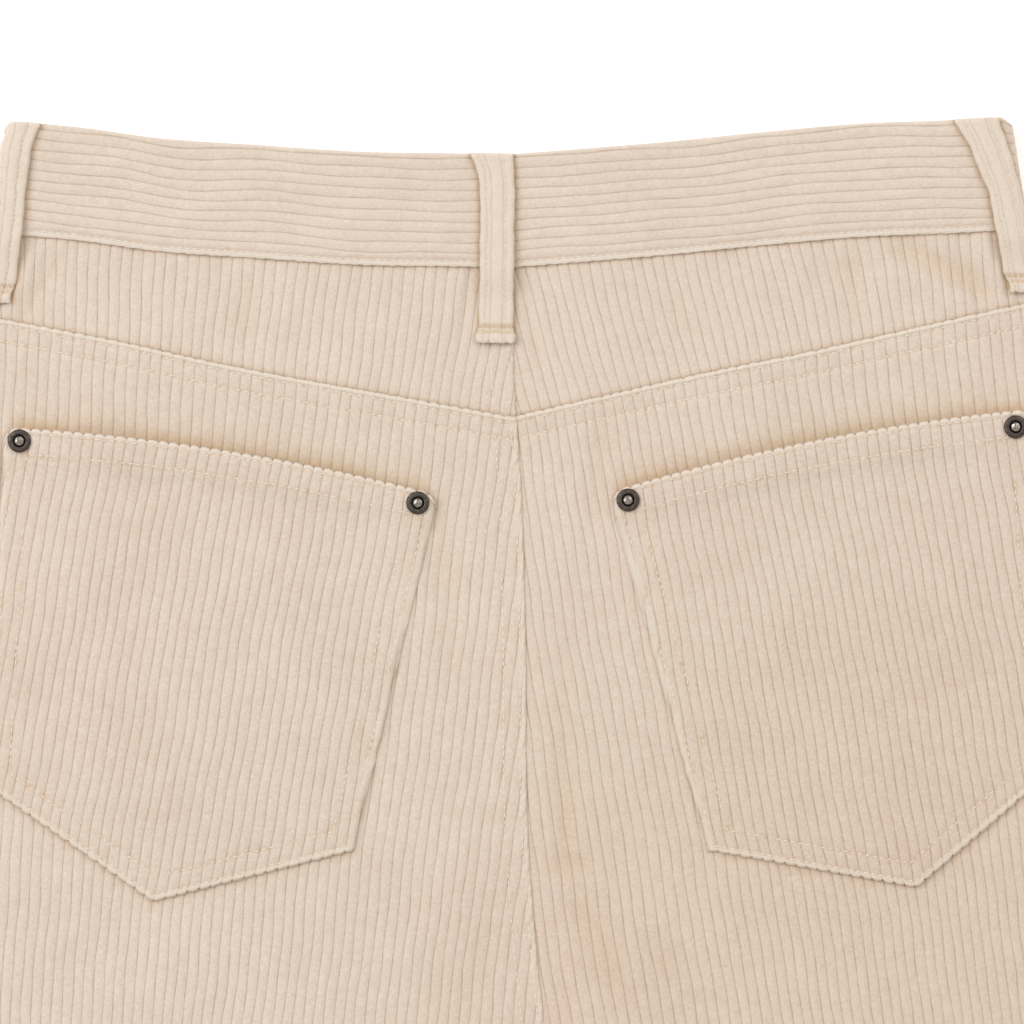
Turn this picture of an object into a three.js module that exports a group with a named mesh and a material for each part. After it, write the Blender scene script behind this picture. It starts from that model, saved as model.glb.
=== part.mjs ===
// Corduroy trousers, laid flat on a surface with their back up. Millimetres, +Z up.
// The plan is drawn as seen from above: x runs across, with the wearer's left at -x, and y runs up
// towards the waist, with y = 0 at the top of the waistband over the centre back seam.
// The fronts lie on the surface. The yoke, the backs, the pockets and the loops lie over them.

import * as THREE from "three";

// Cloth and sewing
const CLOTH = 1.6; // one layer of wide-wale corduroy with its pile
const BAND_WALL = 2.8; // the waistband, two layers pressed together
const FRONT_STRAP = 1.2; // a belt loop pressed under the front
const GAP = 0.3; // between pieces that are sewn together

// Heights above the surface
const RIM = CLOTH + 0.7; // outer face of the backs at their side edges, just clear of the fronts
const SEAT_TOP = 7.0;
const HEM_TOP = 6.3;
const BAND_TOP = 8.2;
const YOKE_STEP = 0.55; // the yoke lies lower than the backs, which lap over it
const LAP_RISE = 0.5; // the backs' top edges stand up by this much over the seam's layers
const LAP_FADE = 9;

// Main sizes
const BAND_HEIGHT = 40.5;
const CROTCH_Y = -325;
const HEM_Y = -1065;
const HEM_TILT = Math.tan(THREE.MathUtils.degToRad(5)); // the hems are square to the splayed legs
const FRONT_DIP = 22; // the front waist lies this much lower than the sides
const SIDE_X = 175; // past this the waist's edges run level round the fold at the side
const LAP_WIDTH = 10; // the left front passes the centre by this much along the fly
const FLY_END_Y = -205;
const BUTTON = { x: -3, below: 20, radius: 8.5, thickness: 1.6 };
const FRONT_LOOP_X = 105;
const LOOP_WIDTH = 12;
const LOOP_LENGTH = 67;

// Top edge of the back waistband: its rise above y = 0 on each side of the centre
const WAIST = [
  { across: 0, left: 0, right: 0 },
  { across: 20, left: 0.3, right: 1.5 },
  { across: 55, left: 0.9, right: 4.4 },
  { across: 90, left: 3.2, right: 7.9 },
  { across: 125, left: 5.6, right: 10.9 },
  { across: 155, left: 9.6, right: 12.1 },
  { across: 182, left: 12.0, right: 13.6 },
];

// Seam between the yoke and the backs: its depth below y = 0
const YOKE_SEAM = [
  { across: 0, left: 94.4, right: 94.4 },
  { across: 40, left: 87.2, right: 85.2 },
  { across: 75, left: 81.0, right: 77.4 },
  { across: 105, left: 75.2, right: 71.4 },
  { across: 143, left: 66.9, right: 62.8 },
  { across: 183, left: 59.3, right: 53.9 },
  { across: 210, left: 54.5, right: 48.5 },
];

// The garment's outline: its distance from x = 0 on each side
const OUTLINE = [
  { y: 16, left: 179.2, right: 178.8 },
  { y: 11, left: 180.0, right: 179.2 },
  { y: 2, left: 182.8, right: 180.4 },
  { y: -9, left: 184.2, right: 182.1 },
  { y: -28, left: 186.6, right: 185.6 },
  { y: -60, left: 193, right: 193 },
  { y: -100, left: 205, right: 205 },
  { y: -150, left: 220, right: 220 },
  { y: -200, left: 233, right: 233 },
  { y: -260, left: 244.5, right: 244.5 },
  { y: -325, left: 253, right: 253 },
  { y: -400, left: 259, right: 259 },
  { y: -500, left: 265, right: 265 },
  { y: -650, left: 274, right: 274 },
  { y: -800, left: 284, right: 284 },
  { y: -1065, left: 303, right: 303 },
];

// Half the space between the legs
const FORK = [
  { y: -325, apart: 0 },
  { y: -333, apart: 4.5 },
  { y: -350, apart: 9 },
  { y: -400, apart: 19 },
  { y: -500, apart: 38 },
  { y: -650, apart: 62 },
  { y: -800, apart: 79 },
  { y: -1065, apart: 102 },
];

// The centre seam as it lies, and the middle between the legs
const CENTRE = [
  { y: 16, x: -1.5 },
  { y: -41, x: -1 },
  { y: -94, x: 1.2 },
  { y: -121, x: 3.0 },
  { y: -175, x: 4.5 },
  { y: -235, x: 5.0 },
  { y: -280, x: 7.9 },
  { y: -325, x: 12 },
  { y: -420, x: 12 },
  { y: -700, x: 5 },
  { y: -1065, x: 0 },
];

// Back pockets: corners as they lie, from the top inner corner round by the point
const POCKETS = {
  left: {
    topInner: { x: -27.1, y: -121.5 },
    topOuter: { x: -181.1, y: -97.6 },
    lowInner: { x: -56.8, y: -248.9 },
    point: { x: -128.2, y: -267.1 },
    lowOuter: { x: -188.0, y: -225.4 },
    bow: 4.0,
  },
  right: {
    topInner: { x: 35.4, y: -120.5 },
    topOuter: { x: 186.5, y: -91.0 },
    lowInner: { x: 70.2, y: -248.8 },
    point: { x: 144.6, y: -262.1 },
    lowOuter: { x: 193.5, y: -220.0 },
    bow: 4.0,
  },
};
const POCKET_CORNER = 3; // the top corners are rounded off by this much
const MOUTH_HEM = 0.075; // the turned hem's share of a pocket's height
const MOUTH_RISE = 0.9; // the turned hem's layers stand out by this much
const LEG_HEM = 25; // height of the turned hem at the foot of each leg
const LEG_HEM_RISE = 0.6;

// Rivets at the top corners of the pockets
const RIVETS = [
  { name: "rivet_left_outer", x: -175.7, y: -102.5 },
  { name: "rivet_left_inner", x: -33.6, y: -124.6 },
  { name: "rivet_right_inner", x: 41.4, y: -123.6 },
  { name: "rivet_right_outer", x: 179.6, y: -97.5 },
];

// Back belt loops: edges at a drop below the waist. The centre loop's edges are x, and the side
// loops' edges are distances in from the garment's outline
const LOOPS = {
  centre: [
    { drop: 0, inner: 1.0, outer: -14.0 },
    { drop: 6, inner: 0.9, outer: -11.8 },
    { drop: 14, inner: 0.8, outer: -11.2 },
    { drop: 60, inner: 0.4, outer: -11.8 },
    { drop: 67, inner: 0.3, outer: -12.4 },
  ],
  left: [
    { drop: 0, inner: 11.4, outer: 0.9 },
    { drop: 30, inner: 11.4, outer: 0.9 },
    { drop: 64, inner: 13.0, outer: 1.6 },
  ],
  right: [
    { drop: 0, inner: 22.0, outer: 5.0 },
    { drop: 10, inner: 17.0, outer: 3.4 },
    { drop: 20, inner: 14.6, outer: 1.8 },
    { drop: 28, inner: 12.8, outer: 1.0 },
    { drop: 62, inner: 13.2, outer: 1.6 },
  ],
};

// Soft ridges (height above 0) and troughs in the laid backs
const FOLDS = [
  { x: 27, y: -178, turn: 3, half: 75, wide: 13, height: -0.6 },
  { x: -14, y: -205, turn: -4, half: 55, wide: 12, height: 0.45 },
  { x: -62, y: -352, turn: 62, half: 48, wide: 15, height: 0.8 },
  { x: -88, y: -392, turn: 50, half: 60, wide: 17, height: -0.9 },
  { x: 88, y: -348, turn: -64, half: 52, wide: 15, height: 0.8 },
  { x: 108, y: -396, turn: -52, half: 56, wide: 18, height: -0.9 },
  { x: -205, y: -420, turn: -14, half: 95, wide: 16, height: 0.6 },
  { x: 214, y: -470, turn: 10, half: 110, wide: 15, height: 0.55 },
  { x: -150, y: -640, turn: 74, half: 46, wide: 17, height: -0.9 },
  { x: -186, y: -684, turn: 66, half: 42, wide: 14, height: 0.6 },
  { x: 176, y: -622, turn: -70, half: 50, wide: 16, height: -0.85 },
  { x: 158, y: -668, turn: -78, half: 38, wide: 15, height: 0.6 },
  { x: -176, y: -850, turn: -6, half: 120, wide: 18, height: 0.55 },
  { x: 208, y: -880, turn: 8, half: 105, wide: 17, height: 0.5 },
  { x: -214, y: -980, turn: -9, half: 60, wide: 14, height: -0.5 },
];

const { clamp, lerp, smoothstep, degToRad } = THREE.MathUtils;

// A smooth value from a table: Hermite curves through its rows
function read(rows, key, value, at) {
  const falling = rows[0][key] > rows[rows.length - 1][key];
  const order = falling ? [...rows].reverse() : rows;
  const last = order.length - 1;
  const slope = (i) => {
    const a = order[Math.max(i - 1, 0)];
    const b = order[Math.min(i + 1, last)];
    return (b[value] - a[value]) / (b[key] - a[key]);
  };
  if (at <= order[0][key]) return order[0][value] + slope(0) * (at - order[0][key]);
  if (at >= order[last][key]) return order[last][value] + slope(last) * (at - order[last][key]);
  const i = order.findIndex((row) => row[key] >= at) - 1;
  const [from, to] = [order[i], order[i + 1]];
  const span = to[key] - from[key];
  const t = (at - from[key]) / span;
  const bend = t * t * (3 - 2 * t);
  return (
    lerp(from[value], to[value], bend) +
    span * (t * (1 - t) ** 2 * slope(i) - t * t * (1 - t) * slope(i + 1))
  );
}

// Lines of the laid garment
const waist = (x) => read(WAIST, "across", x < 0 ? "left" : "right", Math.min(Math.abs(x), SIDE_X));
const yokeSeam = (x) => -read(YOKE_SEAM, "across", x < 0 ? "left" : "right", Math.abs(x));
const outline = (sign, y) => read(OUTLINE, "y", sign < 0 ? "left" : "right", y);
const centre = (y) => read(CENTRE, "y", "x", y);
const apart = (y) => (y > CROTCH_Y ? 0 : read(FORK, "y", "apart", y));
const hem = (x) => HEM_Y + Math.max(0, Math.abs(x) - 102) * HEM_TILT;
const frontWaist = (x) =>
  lerp(waist(-SIDE_X), waist(SIDE_X), smoothstep(x, -90, 90)) -
  FRONT_DIP * (1 - clamp(Math.abs(x) / SIDE_X, 0, 1) ** 2);
const frontEdge = (y) => centre(y) + LAP_WIDTH * smoothstep(y, FLY_END_Y - 8, FLY_END_Y + 22);

// Distance from the fork of the legs, and from the garment's outline
function fromFork(x, y) {
  if (y > CROTCH_Y) return Math.hypot(x - centre(CROTCH_Y), y - CROTCH_Y);
  return Math.max(0, Math.abs(x - centre(y)) - apart(y));
}
const fromOutline = (x, y) => Math.max(0, outline(Math.sign(x), y) - Math.abs(x));

// How the cloth rolls over at an edge: a quarter of an ellipse, from 0 at the edge to 1
const roll = (distance, reach) => Math.sqrt(1 - (1 - clamp(distance / reach, 0, 1)) ** 2);
const rollReach = (y) => 6 + 8 * smoothstep(-y, 20, 160);

// Height that the soft folds add
function folds(x, y) {
  let sum = 0;
  for (const fold of FOLDS) {
    const turn = degToRad(fold.turn);
    const [dx, dy] = [x - fold.x, y - fold.y];
    const along = dx * Math.sin(turn) + dy * Math.cos(turn);
    const off = dx * Math.cos(turn) - dy * Math.sin(turn);
    sum += fold.height * Math.exp(-((off / fold.wide) ** 2) - (along / fold.half) ** 4);
  }
  return sum;
}

// Outer face of the laid back, without the waistband
function backTop(x, y) {
  const crest = lerp(SEAT_TOP, HEM_TOP, smoothstep(-y, 300, 700)) + folds(x, y);
  const edge = roll(fromOutline(x, y), rollReach(y)) * roll(fromFork(x, y), 13);
  return RIM + (crest - RIM) * edge;
}
const panelTop = (x, y) => {
  const below = Math.max(0, yokeSeam(x) - y);
  const lap = LAP_RISE * Math.exp(-below / LAP_FADE);
  const hemLayers = LEG_HEM_RISE * (1 - smoothstep(y - hem(x), LEG_HEM - 1, LEG_HEM + 2));
  return backTop(x, y) + (lap + hemLayers) * roll(fromOutline(x, y), 14);
};
const yokeTop = (x, y) => backTop(x, y) - YOKE_STEP * roll(fromOutline(x, y), 14);

// Outer face of the waistband where it lies on the back
function bandTop(x, y) {
  const r = BAND_TOP / 2;
  return r * (1 + roll(fromOutline(x, y), r));
}

// How far the front lies off the surface over its button and its belt loops
const buttonY = frontWaist(BUTTON.x) - BUTTON.below;
function frontLift(x, y) {
  const toButton = Math.hypot(x - BUTTON.x, y - buttonY);
  const overButton = (BUTTON.thickness + GAP) * (1 - smoothstep(toButton, 14, 30));
  const aside = Math.abs(Math.abs(x) - FRONT_LOOP_X);
  const below = frontWaist(x) - LOOP_LENGTH - y;
  const overLoop = (1 - smoothstep(aside, 10, 24)) * (1 - smoothstep(below, 6, 26));
  return Math.max(overButton, (FRONT_STRAP + GAP) * overLoop);
}

// The point on the inside of a curved cloth, straight in from a point of its outer face
function inward({ us, vs, outer, side }, thickness, u, v) {
  const step = 1e-3;
  const [u0, u1] = [Math.max(u - step, us[0]), Math.min(u + step, us.at(-1))];
  const [v0, v1] = [Math.max(v - step, vs[0]), Math.min(v + step, vs.at(-1))];
  const along = outer(u1, v).sub(outer(u0, v));
  const up = outer(u, v1).sub(outer(u, v0));
  const normal = along.cross(up).normalize();
  return outer(u, v).addScaledVector(normal, -side * thickness);
}

// A wall of cloth: a grid of points on its outer face, and one on its inner face.
// side is 1 where u, then v, then the way out are right-handed, or -1
function wall(cloth) {
  const { us, vs, outer, inner, side } = cloth;
  const face = us.map((u) => vs.map((v) => outer(u, v)));
  const back = us.map((u) => vs.map((v) => (inner ? inner(u, v) : inward(cloth, CLOTH, u, v))));
  const points = [...face.flat(), ...back.flat()];
  const [wide, high] = [us.length, vs.length];
  const at = (i, j, layer) => layer * wide * high + i * high + j;
  const index = [];
  const quad = (a, b, c, d) => index.push(...(side > 0 ? [a, b, c, a, c, d] : [a, c, b, a, d, c]));
  for (let i = 0; i < wide - 1; i++) {
    for (let j = 0; j < high - 1; j++) {
      quad(at(i, j, 0), at(i + 1, j, 0), at(i + 1, j + 1, 0), at(i, j + 1, 0));
      quad(at(i, j, 1), at(i, j + 1, 1), at(i + 1, j + 1, 1), at(i + 1, j, 1));
    }
    quad(at(i, 0, 0), at(i, 0, 1), at(i + 1, 0, 1), at(i + 1, 0, 0));
    quad(at(i, high - 1, 0), at(i + 1, high - 1, 0), at(i + 1, high - 1, 1), at(i, high - 1, 1));
  }
  for (let j = 0; j < high - 1; j++) {
    quad(at(0, j, 0), at(0, j + 1, 0), at(0, j + 1, 1), at(0, j, 1));
    quad(at(wide - 1, j, 0), at(wide - 1, j, 1), at(wide - 1, j + 1, 1), at(wide - 1, j + 1, 0));
  }
  const geometry = new THREE.BufferGeometry().setFromPoints(points);
  geometry.setIndex(index);
  geometry.computeVertexNormals();
  return geometry;
}

const evenly = (count) => Array.from({ length: count + 1 }, (_, i) => i / count);
const between = (near, far, places) => [0, ...places.map((x) => (x - near) / (far - near)), 1];
const point = (x, y, z) => new THREE.Vector3(x, y, z);

// Materials
const corduroy = new THREE.MeshStandardMaterial({ color: 0xdfcdb9, roughness: 0.95 });
const gunmetal = new THREE.MeshStandardMaterial({ color: 0x6d655f, roughness: 0.4, metalness: 0.9 });

const trousers = new THREE.Group();
function add(name, geometry, material = corduroy) {
  const mesh = new THREE.Mesh(geometry, material);
  mesh.name = name;
  trousers.add(mesh);
  return mesh;
}

// A leg panel's point in plan. u runs from the centre or inseam to the outseam, and row is the
// height of a level row of points, which bends to meet the top edge and the hem
function legPlan(sign, u, row, topEdge, inside) {
  const top = topEdge(sign * 120);
  const low = hem(200);
  const nearTop = smoothstep(row, top - 160, top);
  const nearHem = 1 - smoothstep(row, low, low + 160);
  let [x, y] = [0, row];
  for (let pass = 0; pass < 6; pass++) {
    x = lerp(inside(y), sign * outline(sign, y), u);
    y = row + nearTop * (topEdge(x) - top) + nearHem * (hem(x) - low);
  }
  return [x, y];
}

// Columns across a back leg, closer together where the cloth rolls over, and rows up it
const BACK_COLUMNS = [
  0, 0.004, 0.016, 0.036, 0.06, 0.16, 0.3, 0.45, 0.6, 0.74, 0.86, 0.94, 0.964, 0.984, 0.996, 1,
];
const BACK_ROWS = [
  -1044, -1032, -1029, -1000, -960, -900, -840, -780, -720, -680, -640, -600, -555, -510, -470, -430,
  -395, -365, -345, -333, -326, -318, -305, -285, -255, -220, -180, -140, -115, -100, -88,
];

// Columns across the waistband and the yoke, and places across the fronts, rows up them
const BAND_COLUMNS = [0, 0.1, 0.2, 0.3, 0.4, 0.5, 0.6, 0.7, 0.8, 0.9, 1];
const FRONT_ROWS = [
  -990, -900, -800, -700, -600, -520, -450, -390, -350, -333, -326, -310, -270, -213, -198, -183, -140,
  -95, -78, -66,
];
const FRONT_PLACES = [12, 32, 50, 66, 82, 95, 115, 128, 150, 170];

function addPanels(side, sign) {
  const backInside = (y) => centre(y) + sign * (apart(y) + GAP / 2);
  const backEdge = (x) => yokeSeam(x) - GAP / 2;
  add(
    `back_${side}`,
    wall({
      us: BACK_COLUMNS,
      vs: [hem(200), ...BACK_ROWS, backEdge(sign * 120)],
      side: sign,
      outer: (u, row) => {
        const [x, y] = legPlan(sign, u, row, backEdge, backInside);
        return point(x, y, panelTop(x, y));
      },
    }),
  );
  const frontInside = (y) => frontEdge(y) + sign * (apart(y) + GAP / 2);
  const frontTop = (x) => frontWaist(x) - BAND_HEIGHT - GAP;
  const frontPoint = (u, row, height) => {
    const [x, y] = legPlan(sign, u, row, frontTop, frontInside);
    return point(x, y, frontLift(x, y) + height);
  };
  add(
    `front_${side}`,
    wall({
      us: between(sign * frontEdge(-50), 190, FRONT_PLACES),
      vs: [hem(200), ...FRONT_ROWS, frontTop(sign * 120)],
      side: -sign,
      outer: (u, row) => frontPoint(u, row, 0),
      inner: (u, row) => frontPoint(u, row, CLOTH),
    }),
  );
  add(
    `yoke_${side}`,
    wall({
      us: [...BAND_COLUMNS.slice(0, -1), 0.96, 0.985, 1],
      vs: evenly(4),
      side: sign,
      outer: (u, v) => {
        let [x, y] = [0, -70];
        for (let pass = 0; pass < 6; pass++) {
          x = lerp(centre(y) + sign * (GAP / 2), sign * outline(sign, y), u);
          y = lerp(yokeSeam(x) + GAP / 2, waist(x) - BAND_HEIGHT - GAP, v);
        }
        return point(x, y, yokeTop(x, y));
      },
    }),
  );
}

// The waistband's half on one side runs from the centre back, round the fold at the side, and along
// the front. u is 0 to 1 on the back, 1 to 2 round the fold, and 2 to 3 on the front, and depth is
// the distance in from its outer face
function bandPoint(sign, frontEnd, u, v, depth) {
  const r = BAND_TOP / 2;
  const down = BAND_HEIGHT * (1 - v);
  const extreme = outline(sign, waist(sign * SIDE_X) - down);
  if (u <= 1) {
    const x = lerp(centre(-down) + sign * (GAP / 2), sign * (extreme - r), u);
    return point(x, waist(x) - down, BAND_TOP - depth);
  }
  if (u <= 2) {
    const turn = (u - 1) * Math.PI;
    const corner = 2 * v ** 6 * Math.sin(turn);
    const y = waist(sign * SIDE_X) - down - corner;
    const arc = r - depth;
    return point(sign * (extreme - r + arc * Math.sin(turn)), y, r + arc * Math.cos(turn));
  }
  const x = lerp(sign * (extreme - r), frontEnd, u - 2);
  const y = frontWaist(x) - down;
  return point(x, y, frontLift(x, y) + depth);
}

function addWaistband(side, sign) {
  const end = frontEdge(0) + sign * (GAP / 2);
  const roundFold = evenly(8).slice(1);
  const places = [...FRONT_PLACES].reverse();
  const onFront = between(180, sign * end, places).slice(1);
  add(
    `waistband_${side}`,
    wall({
      us: [...BAND_COLUMNS, ...roundFold.map((t) => 1 + t), ...onFront.map((t) => 2 + t)],
      vs: evenly(4),
      side: sign,
      outer: (u, v) => bandPoint(sign, end, u, v, 0),
      inner: (u, v) => bandPoint(sign, end, u, v, BAND_WALL),
    }),
  );
}

// A pocket's point in plan. s runs from the inner side to the outer side, t from the bottom to the top
function pocketPlan(pocket, s, t) {
  const { topInner, topOuter, lowInner, lowOuter, point: tip, bow } = pocket;
  const split = (tip.x - lowInner.x) / (lowOuter.x - lowInner.x);
  const low =
    s < split
      ? [lerp(lowInner.x, tip.x, s / split), lerp(lowInner.y, tip.y, s / split)]
      : [
          lerp(tip.x, lowOuter.x, (s - split) / (1 - split)),
          lerp(tip.y, lowOuter.y, (s - split) / (1 - split)),
        ];
  const round = POCKET_CORNER * (Math.max(0, 1 - s * 30) + Math.max(0, 1 - (1 - s) * 30));
  const high = [
    lerp(topInner.x, topOuter.x, s),
    lerp(topInner.y, topOuter.y, s) + bow * 4 * s * (1 - s) - round,
  ];
  return [lerp(low[0], high[0], t), lerp(low[1], high[1], t)];
}
const pocketTop = (x, y) => panelTop(x, y) + GAP + CLOTH;

function addPocket(side, sign) {
  const pocket = POCKETS[side];
  const { lowInner, lowOuter, point: tip } = pocket;
  const split = (tip.x - lowInner.x) / (lowOuter.x - lowInner.x);
  const hemStart = 1 - MOUTH_HEM;
  const pocketPoint = (s, t, height) => {
    const [x, y] = pocketPlan(pocket, s, t);
    return point(x, y, panelTop(x, y) + GAP + height);
  };
  add(
    `pocket_${side}`,
    wall({
      us: [0, 0.033, 0.12, 0.22, 0.33, split, 0.62, 0.74, 0.86, 0.967, 1].sort((a, b) => a - b),
      vs: [0, 0.08, 0.2, 0.4, 0.6, 0.8, hemStart - 0.01, hemStart, 0.97, 1],
      side: sign,
      outer: (s, t) => {
        const layers = smoothstep(t, hemStart - 0.01, hemStart);
        return pocketPoint(s, t, CLOTH + MOUTH_RISE * layers);
      },
      inner: (s, t) => pocketPoint(s, t, 0),
    }),
  );
}

// A belt loop on the back hooks over the top edge of the waistband, stands a little off it and
// ends on the yoke. drop is the distance down from the waist
function loopPoint(rows, sign, across, drop) {
  const inner = read(rows, "drop", "inner", drop);
  const outer = read(rows, "drop", "outer", drop);
  const place = lerp(inner, outer, across);
  let [x, y] = [place, 0];
  for (let pass = 0; pass < 4; pass++) {
    y = waist(x) - drop;
    x = sign ? sign * (outline(sign, y) - place) : place;
  }
  const onYoke = smoothstep(drop, BAND_HEIGHT + 1, BAND_HEIGHT + 13);
  const slack = 0.3 + 0.7 * Math.sin(Math.PI * clamp(drop / LOOP_LENGTH, 0, 1));
  const base = lerp(bandTop(x, y), yokeTop(x, y), onYoke);
  return point(x, y, base + GAP + CLOTH + slack);
}

function addBackLoop(name, rows, sign, side) {
  const hook = CLOTH + GAP + 0.1; // the strap's outer face past the edge that it hooks over
  const end = rows.at(-1).drop;
  add(
    name,
    wall({
      us: sign ? [0, 0.3, 0.55, 0.75, 0.9, 1] : [0, 0.5, 1],
      vs: [0, 0.06, 0.14, 0.26, 0.38, 0.5, 0.65, 0.8, 0.9, 0.94, 0.97, 1],
      side,
      outer: (across, v) => {
        const bend = 0.9; // from here up the strap turns over the edge
        if (v <= bend) return loopPoint(rows, sign, across, lerp(end, 1.2, v / bend));
        const turn = ((v - bend) / (1 - bend)) * (Math.PI / 2);
        const start = loopPoint(rows, sign, across, 1.2);
        return start.add(point(0, (1.2 + hook) * Math.sin(turn), -hook * (1 - Math.cos(turn)) * 1.3));
      },
    }),
  );
}

// A front belt loop is pressed flat under the front waistband and ends at its top edge
function addFrontLoop(side, sign) {
  const x0 = sign * FRONT_LOOP_X;
  const loopPlan = (u, v, z) =>
    point(x0 + (u - 0.5) * LOOP_WIDTH, frontWaist(x0) - LOOP_LENGTH * (1 - v), z);
  add(
    `loop_front_${side}`,
    wall({
      us: [0, 1],
      vs: [0, 1],
      side: -1,
      outer: (u, v) => loopPlan(u, v, 0),
      inner: (u, v) => loopPlan(u, v, FRONT_STRAP),
    }),
  );
}

// A riveted prong: a washer with a rim, a dark groove and a domed nipple
function rivetGeometry() {
  const profile = [
    [0, 0],
    [4.1, 0],
    [4.1, 0.4],
    [3.75, 0.75],
    [2.5, 0.95],
    [2.1, 0.8],
    [2.0, 0.45],
    [1.75, 0.45],
    [1.7, 0.95],
    [1.25, 1.35],
    [0.65, 1.52],
    [0, 1.56],
  ];
  const lathe = new THREE.LatheGeometry(
    profile.map(([r, z]) => new THREE.Vector2(r, z)),
    16,
  );
  return lathe.rotateX(Math.PI / 2);
}

// A stamped button: a raised rim round a sunk middle
function buttonGeometry() {
  const { radius, thickness } = BUTTON;
  const profile = [
    [0, 0.5],
    [radius - 3.4, 0.5],
    [radius - 2.4, 0],
    [radius - 0.7, 0],
    [radius, 0.6],
    [radius, thickness - 0.4],
    [radius - 0.6, thickness],
    [0, thickness],
  ];
  const lathe = new THREE.LatheGeometry(
    profile.map(([r, z]) => new THREE.Vector2(r, z)),
    28,
  );
  return lathe.rotateX(Math.PI / 2);
}

for (const [side, sign] of [
  ["left", -1],
  ["right", 1],
]) {
  addPanels(side, sign);
  addWaistband(side, sign);
  addPocket(side, sign);
  addBackLoop(`loop_${side}`, LOOPS[side], sign, sign);
  addFrontLoop(side, sign);
}
addBackLoop("loop_centre", LOOPS.centre, 0, -1);

for (const rivet of RIVETS) {
  const mesh = add(rivet.name, rivetGeometry(), gunmetal);
  mesh.position.set(rivet.x, rivet.y, pocketTop(rivet.x, rivet.y) + MOUTH_RISE + GAP);
}
add("button", buttonGeometry(), gunmetal).position.set(BUTTON.x, buttonY, 0);

// The fly: a strip inside the fronts that closes the slit from the waistband down
function flyPoint(u, v, height) {
  const y = lerp(FLY_END_Y + 4, frontWaist(0) - BAND_HEIGHT - 3, v);
  const x = frontEdge(y) + lerp(-24, 16, u);
  return point(x, y, frontLift(x, y) + CLOTH + 2 * GAP + height);
}
add(
  "fly",
  wall({
    us: evenly(4),
    vs: [0, 0.4, 0.8, 0.88, 0.94, 1],
    side: 1,
    outer: (u, v) => flyPoint(u, v, FRONT_STRAP),
    inner: (u, v) => flyPoint(u, v, 0),
  }),
);

// The origin is on the surface, under the middle of the whole
const bounds = new THREE.Box3().setFromObject(trousers, true);
const middle = bounds.getCenter(new THREE.Vector3());
trousers.position.set(-middle.x, -middle.y, 0);

export default trousers;
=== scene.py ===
"""Corduroy trousers, laid flat with their back up: the cloth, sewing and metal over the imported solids.

The plan is in millimetres, seen from above: x runs across, with the wearer's left at -x, and y runs
up towards the waist, with y = 0 at the top of the waistband over the centre back seam.
"""
import math

import bmesh
import bpy
import numpy as np
from mathutils import Matrix, Vector


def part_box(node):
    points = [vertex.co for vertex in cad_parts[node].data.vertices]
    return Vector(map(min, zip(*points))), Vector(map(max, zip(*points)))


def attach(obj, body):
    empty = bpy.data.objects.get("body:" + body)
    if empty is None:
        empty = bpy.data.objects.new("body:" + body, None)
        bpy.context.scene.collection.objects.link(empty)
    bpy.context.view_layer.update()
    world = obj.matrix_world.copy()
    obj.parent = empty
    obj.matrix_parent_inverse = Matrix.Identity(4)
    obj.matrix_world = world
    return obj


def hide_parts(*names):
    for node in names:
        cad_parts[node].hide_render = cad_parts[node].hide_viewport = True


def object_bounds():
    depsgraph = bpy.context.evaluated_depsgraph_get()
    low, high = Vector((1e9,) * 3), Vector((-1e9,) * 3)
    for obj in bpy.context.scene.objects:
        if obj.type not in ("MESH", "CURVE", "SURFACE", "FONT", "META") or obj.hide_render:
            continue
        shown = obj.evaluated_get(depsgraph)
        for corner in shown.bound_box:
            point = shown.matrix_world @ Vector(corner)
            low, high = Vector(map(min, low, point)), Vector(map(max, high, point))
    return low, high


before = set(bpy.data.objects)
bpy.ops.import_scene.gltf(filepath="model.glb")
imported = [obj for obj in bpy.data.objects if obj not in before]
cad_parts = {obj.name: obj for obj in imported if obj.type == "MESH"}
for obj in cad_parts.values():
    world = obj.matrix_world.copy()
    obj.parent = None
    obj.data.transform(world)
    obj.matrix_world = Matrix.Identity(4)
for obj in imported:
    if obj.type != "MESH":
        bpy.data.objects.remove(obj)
cad_low, cad_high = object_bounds()

MM = 0.001
SIGN = {"left": -1, "right": 1}

# Cloth
CLOTH = 1.6
SHELL = 1.25  # the modelled wall, inside the solid's
BAND_WALL = 2.8
FRONT_STRAP = 1.2
GAP = 0.3
WELD = 0.06  # points of a mesh that are closer than this become one
PITCH = 3.8  # from one wale to the next
LEG_PITCH = PITCH * 1.005  # on the long panels
LEG_WALES = (-8, 67)  # first and last wale from the middle outwards
WALE_DEPTH = 0.24
WALE_STEPS = (0, 0.14, 0.5, 0.86)  # columns of a mesh in one wale, closer together at its groove
NAP = 0.12  # the brushed crowns stand this far off the solid's form
TUFTS = 0.03  # random unevenness of the brushed surface
UV_ALONG = 0.1  # the wales' UV map counts this much for a millimetre along a wale
BACK_WEAR = 0.12
YOKE_WEAR = 0.15
BAND_WEAR = 0.2
LOOP_WEAR = 0.6
BAND_PITCH = 3.7
BAND_GROOVE = 5.4  # the lowest groove's height above the waistband's lower edge

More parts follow.
